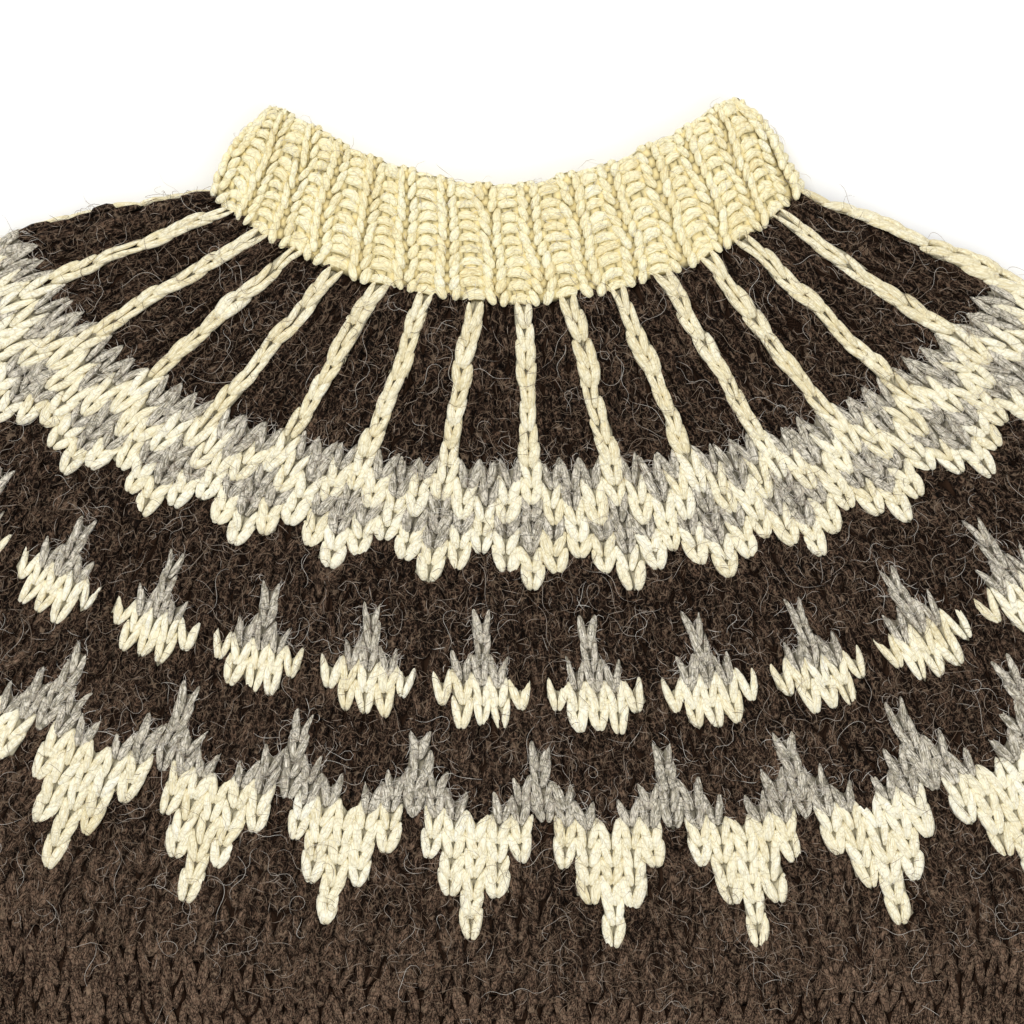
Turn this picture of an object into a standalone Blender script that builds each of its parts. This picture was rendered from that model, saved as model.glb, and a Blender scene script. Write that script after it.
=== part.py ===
"""Hand-knitted round-yoke wool sweater, laid flat with its front up.

Metres, +Z up, +Y towards the collar. Each piece is a tube of knitted cloth pressed flat: two
panels that lie on each other, joined by a rounded fold at each side. A piece is drawn as a plan,
a function from (u, v) to the table it lies on: u runs across from its first fold (0) to its second
(1), and v runs along the knitting from the piece's first seam (0) to its last (1).
"""

from typing import Callable, NamedTuple

import bmesh
import bpy
import numpy as np

MM = 0.001

# Cloth and lay
WALL = 4.0 * MM
COLLAR_WALL = 6.0 * MM  # the neck rib is turned in and sewn down, so it is double
LAP = 0.8 * MM  # air between the front panel and the back panel
SEAM_GAP = 0.32 * MM

# Knitting. A repeat is one spoke of the yoke with what hangs below it.
REPEATS = 30
FIRST_FOLD = -7.9  # the fold on the first side, in repeats from the spoke at the centre front
ACROSS = REPEATS / 2
SLEEVE_REPEATS = 3.0  # repeats of the front that go to each sleeve
YOKE_COURSES = 36.3
BODY_STITCHES = 66.0  # across the front
SLEEVE_STITCHES = 24.0
UNDERARM_STITCHES = 6.0
NECK_EASE_COURSES = 8.0  # the yoke drops from the collar's height over these courses

# Ribs, knit one and purl one
RIB_RISE = 1.2 * MM
HEM_RIBS = 33
CUFF_RIBS = 8
HEM_DEPTH = 55.0 * MM
CUFF_DEPTH = 55.0 * MM
HEM_OPENING = 0.12  # how far the edge of a rib springs open again, as a share of its pull
CUFF_OPENING = 0.1

# Body below the underarms
BODY_LENGTH = 325.0 * MM
BODY_HALF_WIDTH = 231.0 * MM
HEM_HALF_WIDTH = 217.0 * MM
BODY_LEAN = 0.038  # the body lies turned a little, as a slope
BODY_FADE = 0.45  # share of the body over which the courses straighten
SIDE_FLARE = 0.16

# Sleeves
CUFF_TOP_HALF_WIDTH = 60.0 * MM
CUFF_HALF_WIDTH = 50.0 * MM
SLEEVE_FADE = 0.35

# Collar
COLLAR_CORNER = 9.0 * MM  # how far the edge drops at each fold
COLLAR_CORNER_REPEATS = 1.7  # over this many repeats
COLLAR_SCALLOP = 0.7 * MM  # how far the knit ribs stand out at the edge
COLLAR_RIM = 1.6 * MM

# Where the surfaces are sampled
FOLD_STEPS = 5
STEPS_PER_RIB = 4
REPEAT_STEP = 0.375  # across the yoke's front, in repeats; the back has every second one
UNDERARM_SHARES = np.array([0.36, 0.7])
LONG_SECTIONS = np.linspace(0, 1, 14)
BODY_SECTIONS = np.linspace(0, 1, 13)
COLLAR_SECTIONS = np.array([0.0, 0.3, 0.6, 0.85, 0.96, 1.0])
RIB_SECTIONS = np.array([0.0, 0.2, 0.6, 1.0])
YOKE_INSIDE = LONG_SECTIONS[[0, 2, 4, 7, 10, 13]]
SLEEVE_INSIDE = LONG_SECTIONS[[0, 2, 4, 6, 8, 10, 13]]
SHORT_INSIDE = np.array([0.0, 0.6, 1.0])
SHARP_ANGLE = np.radians(50)


class Course(NamedTuple):
    """One course of the yoke's front, in millimetres on the table.

    The pitches are steps per repeat: where the knitting heads at the first fold, at the centre
    front and at the second fold.
    """

    number: float
    first_x: float
    first_y: float
    first_pitch_x: float
    first_pitch_y: float
    centre_x: float
    centre_y: float
    centre_pitch_x: float
    centre_pitch_y: float
    second_x: float
    second_y: float
    second_pitch_x: float
    second_pitch_y: float


YOKE = (
    Course(0.0, -90.6, 96.6, 5.6, -7.3, 3.0, 62.6, 14.1, 0.2, 87.3, 96.6, 5.9, 6.9),
    Course(8.1, -147.0, 84.6, 8.1, -18.7, 5.3, 14.3, 24.3, 0.3, 146.4, 73.2, 13.7, 19.7),
    Course(10.8, -165.6, 77.4, 8.6, -22.0, 5.7, -0.4, 27.1, -0.9, 164.4, 65.4, 15.4, 21.6),
    Course(15.4, -189.6, 67.2, 13.9, -25.1, 5.9, -22.8, 31.4, -1.8, 189.9, 53.1, 19.9, 23.6),
    Course(22.7, -225.6, 48.6, 18.4, -32.4, 8.6, -67.3, 36.1, -2.0, 225.0, 31.2, 19.0, 33.6),
    Course(33.3, -273.6, 17.1, 18.7, -48.0, 8.9, -128.5, 43.1, -3.2, 270.9, -5.4, 20.1, 45.6),
    Course(36.3, -287.1, 6.6, 21.4, -52.4, 8.2, -146.8, 44.7, -4.2, 282.9, -15.9, 23.3, 47.6),
)
COLLAR_EDGE = Course(-10.0, -76.0, 126.0, 6.4, -4.0, -2.4, 98.4, 12.2, 0.0, 72.6, 128.5, 6.4, 3.9)


class Sleeve(NamedTuple):
    """Where a sleeve lies, in millimetres on the table. side is -1 for the left, +1 for the right."""

    name: str
    side: int
    underarm_x: float
    underarm_y: float
    cuff_x: float
    cuff_y: float
    start_slope: float
    cuff_slope: float


SLEEVES = (
    Sleeve("left", -1, -228.0, -142.0, -547.0, -343.0, 39.0, 48.0),
    Sleeve("right", 1, 214.0, -159.0, 530.0, -366.0, 41.0, 49.0),
)


class Crease(NamedTuple):
    """A soft ridge in the front panel, from one point to another, in millimetres."""

    place: str
    start_x: float
    start_y: float
    end_x: float
    end_y: float
    spread: float
    rise: float


CREASES = (
    Crease("left underarm to yoke", -214, -136, -122, -66, 15, 4.6),
    Crease("left underarm to side", -206, -158, -150, -214, 13, 3.2),
    Crease("right underarm to yoke", 202, -150, 128, -84, 14, 4.2),
    Crease("right underarm to side", 196, -176, 134, -226, 15, 3.8),
    Crease("left shoulder", -158, 62, -228, 8, 22, 1.6),
    Crease("right shoulder", 150, 52, 214, -14, 20, 1.8),
    Crease("left sleeve, lengthwise", -338, -72, -474, -214, 18, 3.0),
    Crease("left elbow", -356, -222, -414, -150, 13, 4.8),
    Crease("left forearm", -446, -300, -500, -236, 11, 3.8),
    Crease("right sleeve, lengthwise", 306, -104, 430, -222, 16, 3.4),
    Crease("right elbow", 372, -262, 436, -196, 14, 5.2),
    Crease("right forearm", 452, -336, 506, -288, 12, 3.4),
    Crease("left waist", -236, -262, -126, -346, 24, 3.6),
    Crease("right waist", 206, -290, 88, -356, 21, 4.2),
    Crease("above the hem, left", -176, -432, -72, -452, 19, 3.0),
    Crease("above the hem, right", 26, -446, 150, -430, 23, 3.4),
    Crease("centre front", -38, -256, 22, -330, 30, 1.8),
)

Plan = Callable[[np.ndarray, float], np.ndarray]


def point(x: float, y: float) -> np.ndarray:
    """A point of a table in millimetres, in metres."""
    return np.array([x, y]) * MM


def hermite(start, start_pitch, end, end_pitch, share):
    """A cubic from start to end with the given pitches, at each share (0 to 1) of the way."""
    s = np.asarray(share)[..., None]
    return (
        (2 * s**3 - 3 * s**2 + 1) * start
        + (s**3 - 2 * s**2 + s) * start_pitch
        + (3 * s**2 - 2 * s**3) * end
        + (s**3 - s**2) * end_pitch
    )


def course_at(number: float) -> Course:
    """The yoke's course at this number, on a smooth curve through the table's columns."""
    table = np.array(YOKE)
    numbers = table[:, 0]
    slopes = np.gradient(table, numbers, axis=0)
    row = int(np.clip(np.searchsorted(numbers, number) - 1, 0, len(YOKE) - 2))
    step = numbers[row + 1] - numbers[row]
    share = (number - numbers[row]) / step
    return Course(*hermite(table[row], slopes[row] * step, table[row + 1], slopes[row + 1] * step, share))


def on_course(course: Course, u: np.ndarray) -> np.ndarray:
    """Points of a course's front at u: one cubic from each fold to the centre front."""
    repeat = FIRST_FOLD + ACROSS * np.asarray(u, dtype=float)
    first_share = 1 - repeat / FIRST_FOLD
    second_fold = FIRST_FOLD + ACROSS
    second_share = repeat / second_fold
    centre = point(course.centre_x, course.centre_y)
    centre_pitch = point(course.centre_pitch_x, course.centre_pitch_y)
    first = hermite(
        point(course.first_x, course.first_y),
        point(course.first_pitch_x, course.first_pitch_y) * -FIRST_FOLD,
        centre,
        centre_pitch * -FIRST_FOLD,
        first_share,
    )
    second = hermite(
        centre,
        centre_pitch * second_fold,
        point(course.second_x, course.second_y),
        point(course.second_pitch_x, course.second_pitch_y) * second_fold,
        second_share,
    )
    return np.where((repeat < 0)[..., None], first, second)


def blend(a, b, share):
    """The points at this share of the way from a to b."""
    share = np.asarray(share)[..., None]
    return a * (1 - share) + b * share


def yoke_plan(u: np.ndarray, v: float) -> np.ndarray:
    """The yoke: courses 0 to the last, one after the other."""
    return on_course(course_at(v * YOKE_COURSES), u)


def collar_plan(u: np.ndarray, v: float) -> np.ndarray:
    """The collar: straight wales from the yoke's first course (v 0) to its turned edge (v 1)."""
    u = np.asarray(u, dtype=float)
    flat = blend(on_course(YOKE[0], u), on_course(COLLAR_EDGE, u), v)
    from_fold = np.minimum(u, 1 - u) * ACROSS / COLLAR_CORNER_REPEATS
    drop = COLLAR_CORNER * np.clip(1 - from_fold, 0, 1) ** 2
    scallop = COLLAR_SCALLOP * np.cos(2 * np.pi * (FIRST_FOLD + ACROSS * u))
    return flat - ((drop + scallop) * v**3)[..., None] * np.array([0.0, 1.0])


def join(u_of_yoke: np.ndarray) -> np.ndarray:
    """The yoke's last course, where body and sleeves begin."""
    return on_course(YOKE[-1], u_of_yoke)


def sleeve_corner(side: int) -> float:
    """The yoke's u where body, sleeve and underarm meet on this side."""
    share = SLEEVE_REPEATS / ACROSS
    return share if side < 0 else 1 - share


def underarm(side: int) -> np.ndarray:
    """The point where a sleeve's lower fold meets the body's side fold."""
    sleeve = SLEEVES[0] if side < 0 else SLEEVES[1]
    return point(sleeve.underarm_x, sleeve.underarm_y)


def body_top(u: np.ndarray) -> np.ndarray:
    """The body's top seam: underarm stitches, the yoke's last course, underarm stitches."""
    u = np.asarray(u, dtype=float)
    share = UNDERARM_STITCHES / BODY_STITCHES
    first, second = sleeve_corner(-1), sleeve_corner(1)
    inner = first + (second - first) * np.clip((u - share) / (1 - 2 * share), 0, 1)
    front = join(inner)
    left = blend(underarm(-1), join(np.array(first)), np.minimum(u / share, 1))
    right = blend(join(np.array(second)), underarm(1), np.maximum((u - 1 + share) / share, 0))
    return np.where((u < share)[..., None], left, np.where((u > 1 - share)[..., None], right, front))


def body_down() -> np.ndarray:
    """The way down the body, a unit vector."""
    down = np.array([-BODY_LEAN, -1.0])
    return down / np.linalg.norm(down)


def hem_line(half_width: float, depth: float) -> tuple[np.ndarray, np.ndarray]:
    """The two ends of a straight line across the body, this far below its last plain course."""
    down = body_down()
    across = np.array([-down[1], down[0]])
    middle = (underarm(-1) + underarm(1)) / 2 + down * (BODY_LENGTH + depth)
    return middle - across * half_width, middle + across * half_width


def body_plan(u: np.ndarray, v: float) -> np.ndarray:
    """The body: courses that start as its top seam and straighten towards the hem."""
    u = np.asarray(u, dtype=float)
    left_end, right_end = hem_line(BODY_HALF_WIDTH, 0.0)
    down = body_down() * BODY_LENGTH
    flare = np.array([SIDE_FLARE * BODY_LENGTH, 0.0])
    left = hermite(underarm(-1), down - flare, left_end, down, v)
    right = hermite(underarm(1), down + flare, right_end, down, v)
    bow = body_top(u) - blend(underarm(-1), underarm(1), u)
    return blend(left, right, u) + bow * max(0.0, 1 - v / BODY_FADE) ** 2


def hem_plan(u: np.ndarray, v: float) -> np.ndarray:
    """The hem rib: it draws in from the body's width, and opens a little at its edge."""
    wide = hem_line(BODY_HALF_WIDTH, v * HEM_DEPTH)
    narrow = hem_line(HEM_HALF_WIDTH, v * HEM_DEPTH)
    pull = 1 - (1 - v) ** 3 - HEM_OPENING * v**2
    return blend(blend(wide[0], narrow[0], pull), blend(wide[1], narrow[1], pull), u)


def slope_vector(side: int, degrees: float) -> np.ndarray:
    """A unit vector that runs out to this side and down by this slope."""
    angle = np.radians(degrees)
    return np.array([side * np.cos(angle), -np.sin(angle)])


def sleeve_top(sleeve: Sleeve, u: np.ndarray) -> np.ndarray:
    """A sleeve's first seam, from its upper fold: the yoke's last course, then the underarm."""
    u = np.asarray(u, dtype=float)
    share = 1 - UNDERARM_STITCHES / SLEEVE_STITCHES
    corner = sleeve_corner(sleeve.side)
    fold = 0.0 if sleeve.side < 0 else 1.0
    knit_on = join(fold + (corner - fold) * np.minimum(u / share, 1))
    below = np.maximum((u - share) / (1 - share), 0)
    grafted = blend(join(np.array(corner)), underarm(sleeve.side), below)
    return np.where((u < share)[..., None], knit_on, grafted)


def cuff_line(sleeve: Sleeve, half_width: float, depth: float) -> tuple[np.ndarray, np.ndarray]:
    """The upper and lower end of a straight line across the sleeve, this far into its cuff."""
    along = slope_vector(sleeve.side, sleeve.cuff_slope)
    down_across = np.array([along[1], -along[0]]) * sleeve.side
    middle = point(sleeve.cuff_x, sleeve.cuff_y) + along * depth
    return middle - down_across * half_width, middle + down_across * half_width


def sleeve_plan(sleeve: Sleeve) -> Plan:
    """The plan of a sleeve: courses that start as its first seam and straighten to the cuff."""
    shoulder = sleeve_top(sleeve, np.array(0.0))
    armpit = underarm(sleeve.side)
    upper_end, lower_end = cuff_line(sleeve, CUFF_TOP_HALF_WIDTH, 0.0)
    start = slope_vector(sleeve.side, sleeve.start_slope)
    finish = slope_vector(sleeve.side, sleeve.cuff_slope)
    upper_length = np.linalg.norm(upper_end - shoulder)
    lower_length = np.linalg.norm(lower_end - armpit)

    def plan(u: np.ndarray, v: float) -> np.ndarray:
        u = np.asarray(u, dtype=float)
        upper = hermite(shoulder, start * upper_length, upper_end, finish * upper_length, v)
        lower = hermite(armpit, start * lower_length, lower_end, finish * lower_length, v)
        bow = sleeve_top(sleeve, u) - blend(shoulder, armpit, u)
        return blend(upper, lower, u) + bow * max(0.0, 1 - v / SLEEVE_FADE) ** 2

    return plan


def cuff_plan(sleeve: Sleeve) -> Plan:
    """The plan of a cuff: it draws in from the sleeve's width."""

    def plan(u: np.ndarray, v: float) -> np.ndarray:
        wide = cuff_line(sleeve, CUFF_TOP_HALF_WIDTH, v * CUFF_DEPTH)
        narrow = cuff_line(sleeve, CUFF_HALF_WIDTH, v * CUFF_DEPTH)
        pull = 1 - (1 - v) ** 3 - CUFF_OPENING * v**2
        return blend(blend(wide[0], narrow[0], pull), blend(wide[1], narrow[1], pull), u)

    return plan


def crease_rise(xy: np.ndarray) -> np.ndarray:
    """How far the soft ridges lift the front panel at each point."""
    rise = np.zeros(xy.shape[:-1])
    for crease in CREASES:
        start = point(crease.start_x, crease.start_y)
        run = point(crease.end_x, crease.end_y) - start
        length = np.linalg.norm(run)
        share = (xy - start) @ run / length**2
        nearest = start + np.clip(share, 0, 1)[..., None] * run
        away = np.linalg.norm(xy - nearest, axis=-1) / (crease.spread * MM)
        rise += crease.rise * MM * np.exp(-(away**2))
    return rise


class Piece(NamedTuple):
    """A flattened tube. ribs counts the knit ribs across, and stations are where u is sampled."""

    name: str
    plan: Plan
    front: np.ndarray
    back: np.ndarray
    sections: np.ndarray
    inner_sections: np.ndarray
    wall: float
    stack: Callable[[float], float]
    rib: Callable[[np.ndarray], np.ndarray]
    rim: float


def pitch(plan: Plan, u: float, v: float) -> float:
    """Metres of cloth per unit of u at a fold."""
    step = 1e-3
    ends = plan(np.array([u, u + step if u < 0.5 else u - step]), v)
    return float(np.linalg.norm(ends[1] - ends[0]) / step)


def inset(plan: Plan, u: np.ndarray, v: float) -> np.ndarray:
    """The plan at a seam, drawn back from it by half the gap, square to it and mitred at corners."""
    step = 1e-4
    here = plan(u, v)
    before = here - plan(u - step, v)
    after = plan(u + step, v) - here
    sides = []
    for run in (before, after):
        length = np.linalg.norm(run, axis=-1, keepdims=True)
        sides.append(np.stack([-run[..., 1], run[..., 0]], -1) / length)
    mitre = (sides[0] + sides[1]) / (1 + (sides[0] * sides[1]).sum(-1, keepdims=True))
    inwards = plan(u, 0.03 if v < 0.5 else 0.97) - here
    way = np.sign(np.median((mitre * inwards).sum(-1)))
    return here + mitre * way * SEAM_GAP / 2


def ring(piece: Piece, v: float, inner: bool) -> np.ndarray:
    """One closed ring of the tube: front panel, second fold, back panel, first fold."""
    wall = piece.wall if inner else 0.0
    rise = piece.stack(v)
    radius = rise / 2
    angles = np.linspace(0, np.pi, FOLD_STEPS)
    reach = wall + (radius - wall) * (1 - np.sin(angles))
    height = np.cos(angles)
    first = reach / pitch(piece.plan, 0.0, v)
    second = 1 - reach / pitch(piece.plan, 1.0, v)
    u = np.concatenate([piece.front, second, piece.back[::-1], first[::-1]])
    level = np.concatenate(
        [np.ones(len(piece.front)), height, -np.ones(len(piece.back)), height[::-1]]
    )
    at_seam = v in (0.0, 1.0)
    xy = inset(piece.plan, u, v) if at_seam else piece.plan(u, v)
    top = rise + crease_rise(xy)
    z = wall + (top - 2 * wall) * (1 + level) / 2
    if not inner:
        on_front = np.arange(len(u)) < len(piece.front)
        z = z + np.where(on_front, piece.rib(u), 0.0)
        if piece.rim and v == 1.0:
            z = z - piece.rim * level
    return np.column_stack([xy, z])


def mesh_of(piece: Piece) -> tuple[np.ndarray, list[tuple[int, ...]]]:
    """The closed wall of a piece: its outer rings, its plain inner rings and its two rims."""
    outer = [ring(piece, float(v), False) for v in piece.sections]
    inner = [ring(piece, float(v), True) for v in piece.inner_sections]
    rings = outer + inner[::-1]
    around = len(rings[0])
    faces = []
    for row in range(len(rings)):
        below = row * around
        above = (row + 1) % len(rings) * around
        for place in range(around):
            after = (place + 1) % around
            faces.append((below + place, below + after, above + after, above + place))
    return np.concatenate(rings), faces


def repeat_stations(step: float) -> np.ndarray:
    """Even stations across the yoke, this many repeats apart and clear of the folds, as u."""
    end = 2 * REPEAT_STEP
    return np.arange(end, ACROSS - end + step / 2, step) / ACROSS


def rib_stations(ribs: int) -> np.ndarray:
    """Stations across a rib: a few for each knit rib, clear of the folds."""
    return np.arange(0.75, ribs - 0.75 + 0.01, 1 / STEPS_PER_RIB) / ribs


def knit_rib(ribs: float, phase: float) -> Callable[[np.ndarray], np.ndarray]:
    """The rise of a knit-one-purl-one rib at u: a raised wave with this many crests across."""
    return lambda u: RIB_RISE * (0.5 + 0.5 * np.cos(2 * np.pi * (u * ribs - phase)))


def plain(u: np.ndarray) -> np.ndarray:
    """No rib."""
    return np.zeros_like(u)


def level_stack(wall: float) -> Callable[[float], float]:
    """Two walls and the air between them."""
    return lambda v: 2 * wall + LAP


def yoke_stack(v: float) -> float:
    """The yoke is as high as the collar at the neck, and eases down to two plain walls."""
    share = min(1.0, v * YOKE_COURSES / NECK_EASE_COURSES)
    ease = 1 - share**2 * (3 - 2 * share)
    return 2 * WALL + LAP + 2 * (COLLAR_WALL - WALL) * ease


def pieces() -> list[Piece]:
    """Every piece of the sweater, in the order that it is knitted."""
    front = repeat_stations(REPEAT_STEP)
    back = repeat_stations(2 * REPEAT_STEP)
    corner = sleeve_corner(-1)
    share = UNDERARM_STITCHES / BODY_STITCHES
    under = share * UNDERARM_SHARES

    def to_body(yoke_u: np.ndarray) -> np.ndarray:
        kept = yoke_u[(yoke_u > corner - 1e-6) & (yoke_u < 1 - corner + 1e-6)]
        knit_on = share + (kept - corner) / (1 - 2 * corner) * (1 - 2 * share)
        return np.concatenate([under, knit_on, 1 - under[::-1]])

    def to_sleeve(yoke_u: np.ndarray) -> np.ndarray:
        kept = yoke_u[yoke_u < corner + 1e-6]
        on = 1 - UNDERARM_STITCHES / SLEEVE_STITCHES
        return np.concatenate([kept / corner * on, on + (1 - on) * UNDERARM_SHARES])

    crest = -FIRST_FOLD - 0.5
    first_spoke, last_spoke = np.ceil(FIRST_FOLD), np.floor(FIRST_FOLD + ACROSS - 0.75)
    collar_end = last_spoke + 1 / STEPS_PER_RIB
    collar_front = np.arange(first_spoke, collar_end + 0.01, 1 / STEPS_PER_RIB)
    made = [
        Piece(
            "collar",
            collar_plan,
            (collar_front - FIRST_FOLD) / ACROSS,
            (collar_front[:: STEPS_PER_RIB - 1] - FIRST_FOLD) / ACROSS,
            COLLAR_SECTIONS,
            SHORT_INSIDE,
            COLLAR_WALL,
            level_stack(COLLAR_WALL),
            knit_rib(ACROSS, crest),
            COLLAR_RIM,
        ),
        Piece(
            "yoke",
            yoke_plan,
            front,
            back,
            LONG_SECTIONS,
            YOKE_INSIDE,
            WALL,
            yoke_stack,
            plain,
            0.0,
        ),
        Piece(
            "body",
            body_plan,
            to_body(front),
            to_body(back),
            BODY_SECTIONS,
            BODY_SECTIONS[::2],
            WALL,
            level_stack(WALL),
            plain,
            0.0,
        ),
        Piece(
            "hem_rib",
            hem_plan,
            rib_stations(HEM_RIBS),
            rib_stations(HEM_RIBS)[:: 2 * STEPS_PER_RIB],
            RIB_SECTIONS,
            RIB_SECTIONS,
            WALL,
            level_stack(WALL),
            knit_rib(HEM_RIBS, 0.5),
            0.0,
        ),
    ]
    for sleeve in SLEEVES:
        made.append(
            Piece(
                f"sleeve_{sleeve.name}",
                sleeve_plan(sleeve),
                to_sleeve(front if sleeve.side < 0 else 1 - front[::-1]),
                to_sleeve(back if sleeve.side < 0 else 1 - back[::-1]),
                LONG_SECTIONS,
                SLEEVE_INSIDE,
                WALL,
                level_stack(WALL),
                plain,
                0.0,
            )
        )
        made.append(
            Piece(
                f"cuff_{sleeve.name}",
                cuff_plan(sleeve),
                rib_stations(CUFF_RIBS),
                rib_stations(CUFF_RIBS)[:: 2 * STEPS_PER_RIB],
                RIB_SECTIONS,
                SHORT_INSIDE,
                WALL,
                level_stack(WALL),
                knit_rib(CUFF_RIBS, 0.5),
                0.0,
            )
        )
    return made


def wool(name: str, colour: tuple[float, float, float]) -> bpy.types.Material:
    """A plain wool material."""
    material = bpy.data.materials.new(name)
    material.use_nodes = True
    shader = material.node_tree.nodes["Principled BSDF"]
    shader.inputs["Base Color"].default_value = (*colour, 1.0)
    shader.inputs["Roughness"].default_value = 0.95
    shader.inputs["Metallic"].default_value = 0.0
    return material


def clear_scene() -> None:
    """Removes what the scene starts with."""
    for thing in list(bpy.data.objects):
        bpy.data.objects.remove(thing)


def main() -> None:
    """Builds every piece, with the origin under the middle of the sweater's box."""
    clear_scene()
    undyed_dark = (0.033, 0.022, 0.016)
    undyed_cream = (0.80, 0.74, 0.55)
    made = [(piece, *mesh_of(piece)) for piece in pieces()]
    every = np.concatenate([points for _, points, _ in made])
    low, high = every.min(axis=0), every.max(axis=0)
    origin = np.array([(low[0] + high[0]) / 2, (low[1] + high[1]) / 2, low[2]])
    for piece, points, faces in made:
        mesh = bpy.data.meshes.new(piece.name)
        mesh.from_pydata((points - origin).tolist(), [], faces)
        shape = bmesh.new()
        shape.from_mesh(mesh)
        bmesh.ops.recalc_face_normals(shape, faces=shape.faces)
        shape.to_mesh(mesh)
        shape.free()
        mesh.shade_smooth()
        mesh.set_sharp_from_angle(angle=SHARP_ANGLE)
        colour = undyed_cream if piece.name == "collar" else undyed_dark
        mesh.materials.append(wool(f"{piece.name}_wool", colour))
        thing = bpy.data.objects.new(piece.name, mesh)
        bpy.context.scene.collection.objects.link(thing)


main()
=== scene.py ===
"""A hand-knitted round-yoke wool sweater, laid flat with its front up, dressed stitch by stitch.

Metres, +Z up, +Y towards the collar. Each piece is a tube of knitting pressed flat, drawn as a
plan from (u, v) to the table: u runs across from its first fold (0) to its second (1) and on round
the back (1 to 2), and v runs along the knitting from its first seam (0) to its last (1). A thin
shell on that form is the cloth, and every stitch of the front lies on it as two legs of yarn.
"""

import logging
from collections.abc import Iterable, Sequence
from dataclasses import dataclass, field, replace
from enum import Enum
from typing import NamedTuple

import bpy
import numpy as np
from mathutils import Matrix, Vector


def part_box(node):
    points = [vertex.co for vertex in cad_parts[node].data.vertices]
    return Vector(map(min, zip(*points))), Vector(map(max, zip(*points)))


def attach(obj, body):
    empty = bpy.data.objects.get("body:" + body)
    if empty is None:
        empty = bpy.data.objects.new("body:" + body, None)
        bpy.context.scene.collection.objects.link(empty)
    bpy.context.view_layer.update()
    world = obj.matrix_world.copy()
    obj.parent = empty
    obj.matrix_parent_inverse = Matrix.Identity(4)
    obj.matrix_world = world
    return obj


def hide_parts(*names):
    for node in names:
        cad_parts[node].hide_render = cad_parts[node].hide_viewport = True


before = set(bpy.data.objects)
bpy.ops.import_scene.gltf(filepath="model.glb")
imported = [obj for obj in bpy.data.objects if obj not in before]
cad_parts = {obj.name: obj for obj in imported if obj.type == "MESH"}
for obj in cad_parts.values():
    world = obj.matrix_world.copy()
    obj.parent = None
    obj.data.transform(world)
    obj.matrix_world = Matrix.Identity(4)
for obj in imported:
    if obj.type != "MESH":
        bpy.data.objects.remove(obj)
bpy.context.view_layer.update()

LOG = logging.getLogger("sweater")
Array = np.ndarray

MM = 0.001
SEED = 20

# Cloth and lay
WALL = 4.0 * MM
COLLAR_WALL = 6.0 * MM
LAP = 0.8 * MM

# Hand knitting's slow unevenness: waves per millimetre, x then y, for two waves each way
WANDER = 0.32 * MM
WANDER_WAVES = np.array([[0.021, 0.047, 0.039, 0.015], [0.043, -0.018, 0.024, -0.052]])

# Knitting. A repeat is one spoke of the yoke with what hangs below it.
REPEATS = 30
FIRST_FOLD = -7.9
ACROSS = REPEATS / 2
SLEEVE_REPEATS = 3.0
YOKE_COURSES = 36.3
BODY_STITCHES = 66
SLEEVE_STITCHES = 24
UNDERARM_STITCHES = 6
NECK_EASE_COURSES = 8.0

# Body below the underarms
BODY_LENGTH = 325.0 * MM
BODY_HALF_WIDTH = 231.0 * MM
HEM_HALF_WIDTH = 217.0 * MM
BODY_LEAN = 0.038
BODY_FADE = 0.45
SIDE_FLARE = 0.16
HEM_DEPTH = 55.0 * MM
HEM_RIBS = 33

# Sleeves
CUFF_TOP_HALF_WIDTH = 60.0 * MM
CUFF_HALF_WIDTH = 50.0 * MM
SLEEVE_FADE = 0.35
CUFF_DEPTH = 55.0 * MM
CUFF_RIBS = 8

# Collar
COLLAR_CORNER = 9.0 * MM
COLLAR_CORNER_REPEATS = 1.25
COLLAR_SCALLOP = 0.7 * MM


class Course(NamedTuple):
    """One course of the yoke's front, in millimetres on the table.

    The pitches are steps per repeat: where the knitting heads at the first fold, at the centre
    front and at the second fold.
    """

    number: float
    first_x: float
    first_y: float
    first_pitch_x: float
    first_pitch_y: float
    centre_x: float
    centre_y: float
    centre_pitch_x: float
    centre_pitch_y: float
    second_x: float
    second_y: float
    second_pitch_x: float
    second_pitch_y: float


YOKE = (
    Course(0.0, -90.6, 96.6, 5.6, -7.3, 3.0, 62.6, 14.1, 0.2, 87.3, 96.6, 5.9, 6.9),
    Course(8.1, -147.0, 84.6, 8.1, -18.7, 5.3, 14.3, 24.3, 0.3, 146.4, 73.2, 13.7, 19.7),
    Course(10.8, -165.6, 77.4, 8.6, -22.0, 5.7, -0.4, 27.1, -0.9, 164.4, 65.4, 15.4, 21.6),
    Course(15.4, -189.6, 67.2, 13.9, -25.1, 5.9, -22.8, 31.4, -1.8, 189.9, 53.1, 19.9, 23.6),
    Course(22.7, -225.6, 48.6, 18.4, -32.4, 8.6, -67.3, 36.1, -2.0, 225.0, 31.2, 19.0, 33.6),
    Course(33.3, -273.6, 17.1, 18.7, -48.0, 8.9, -128.5, 43.1, -3.2, 270.9, -5.4, 20.1, 45.6),
    Course(36.3, -287.1, 6.6, 21.4, -52.4, 8.2, -146.8, 44.7, -4.2, 282.9, -15.9, 23.3, 47.6),
)
COLLAR_EDGE = Course(-10.0, -76.0, 126.0, 6.4, -4.0, -2.4, 98.4, 12.2, 0.0, 72.6, 128.5, 6.4, 3.9)


class SleeveLay(NamedTuple):
    """Where a sleeve lies, in millimetres on the table. side is -1 for the left, +1 for the right."""

    name: str
    side: int
    underarm_x: float
    underarm_y: float
    cuff_x: float
    cuff_y: float
    start_slope: float
    cuff_slope: float


LEFT = SleeveLay("left", -1, -228.0, -142.0, -547.0, -343.0, 39.0, 48.0)
RIGHT = SleeveLay("right", 1, 214.0, -159.0, 530.0, -366.0, 41.0, 49.0)


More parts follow.
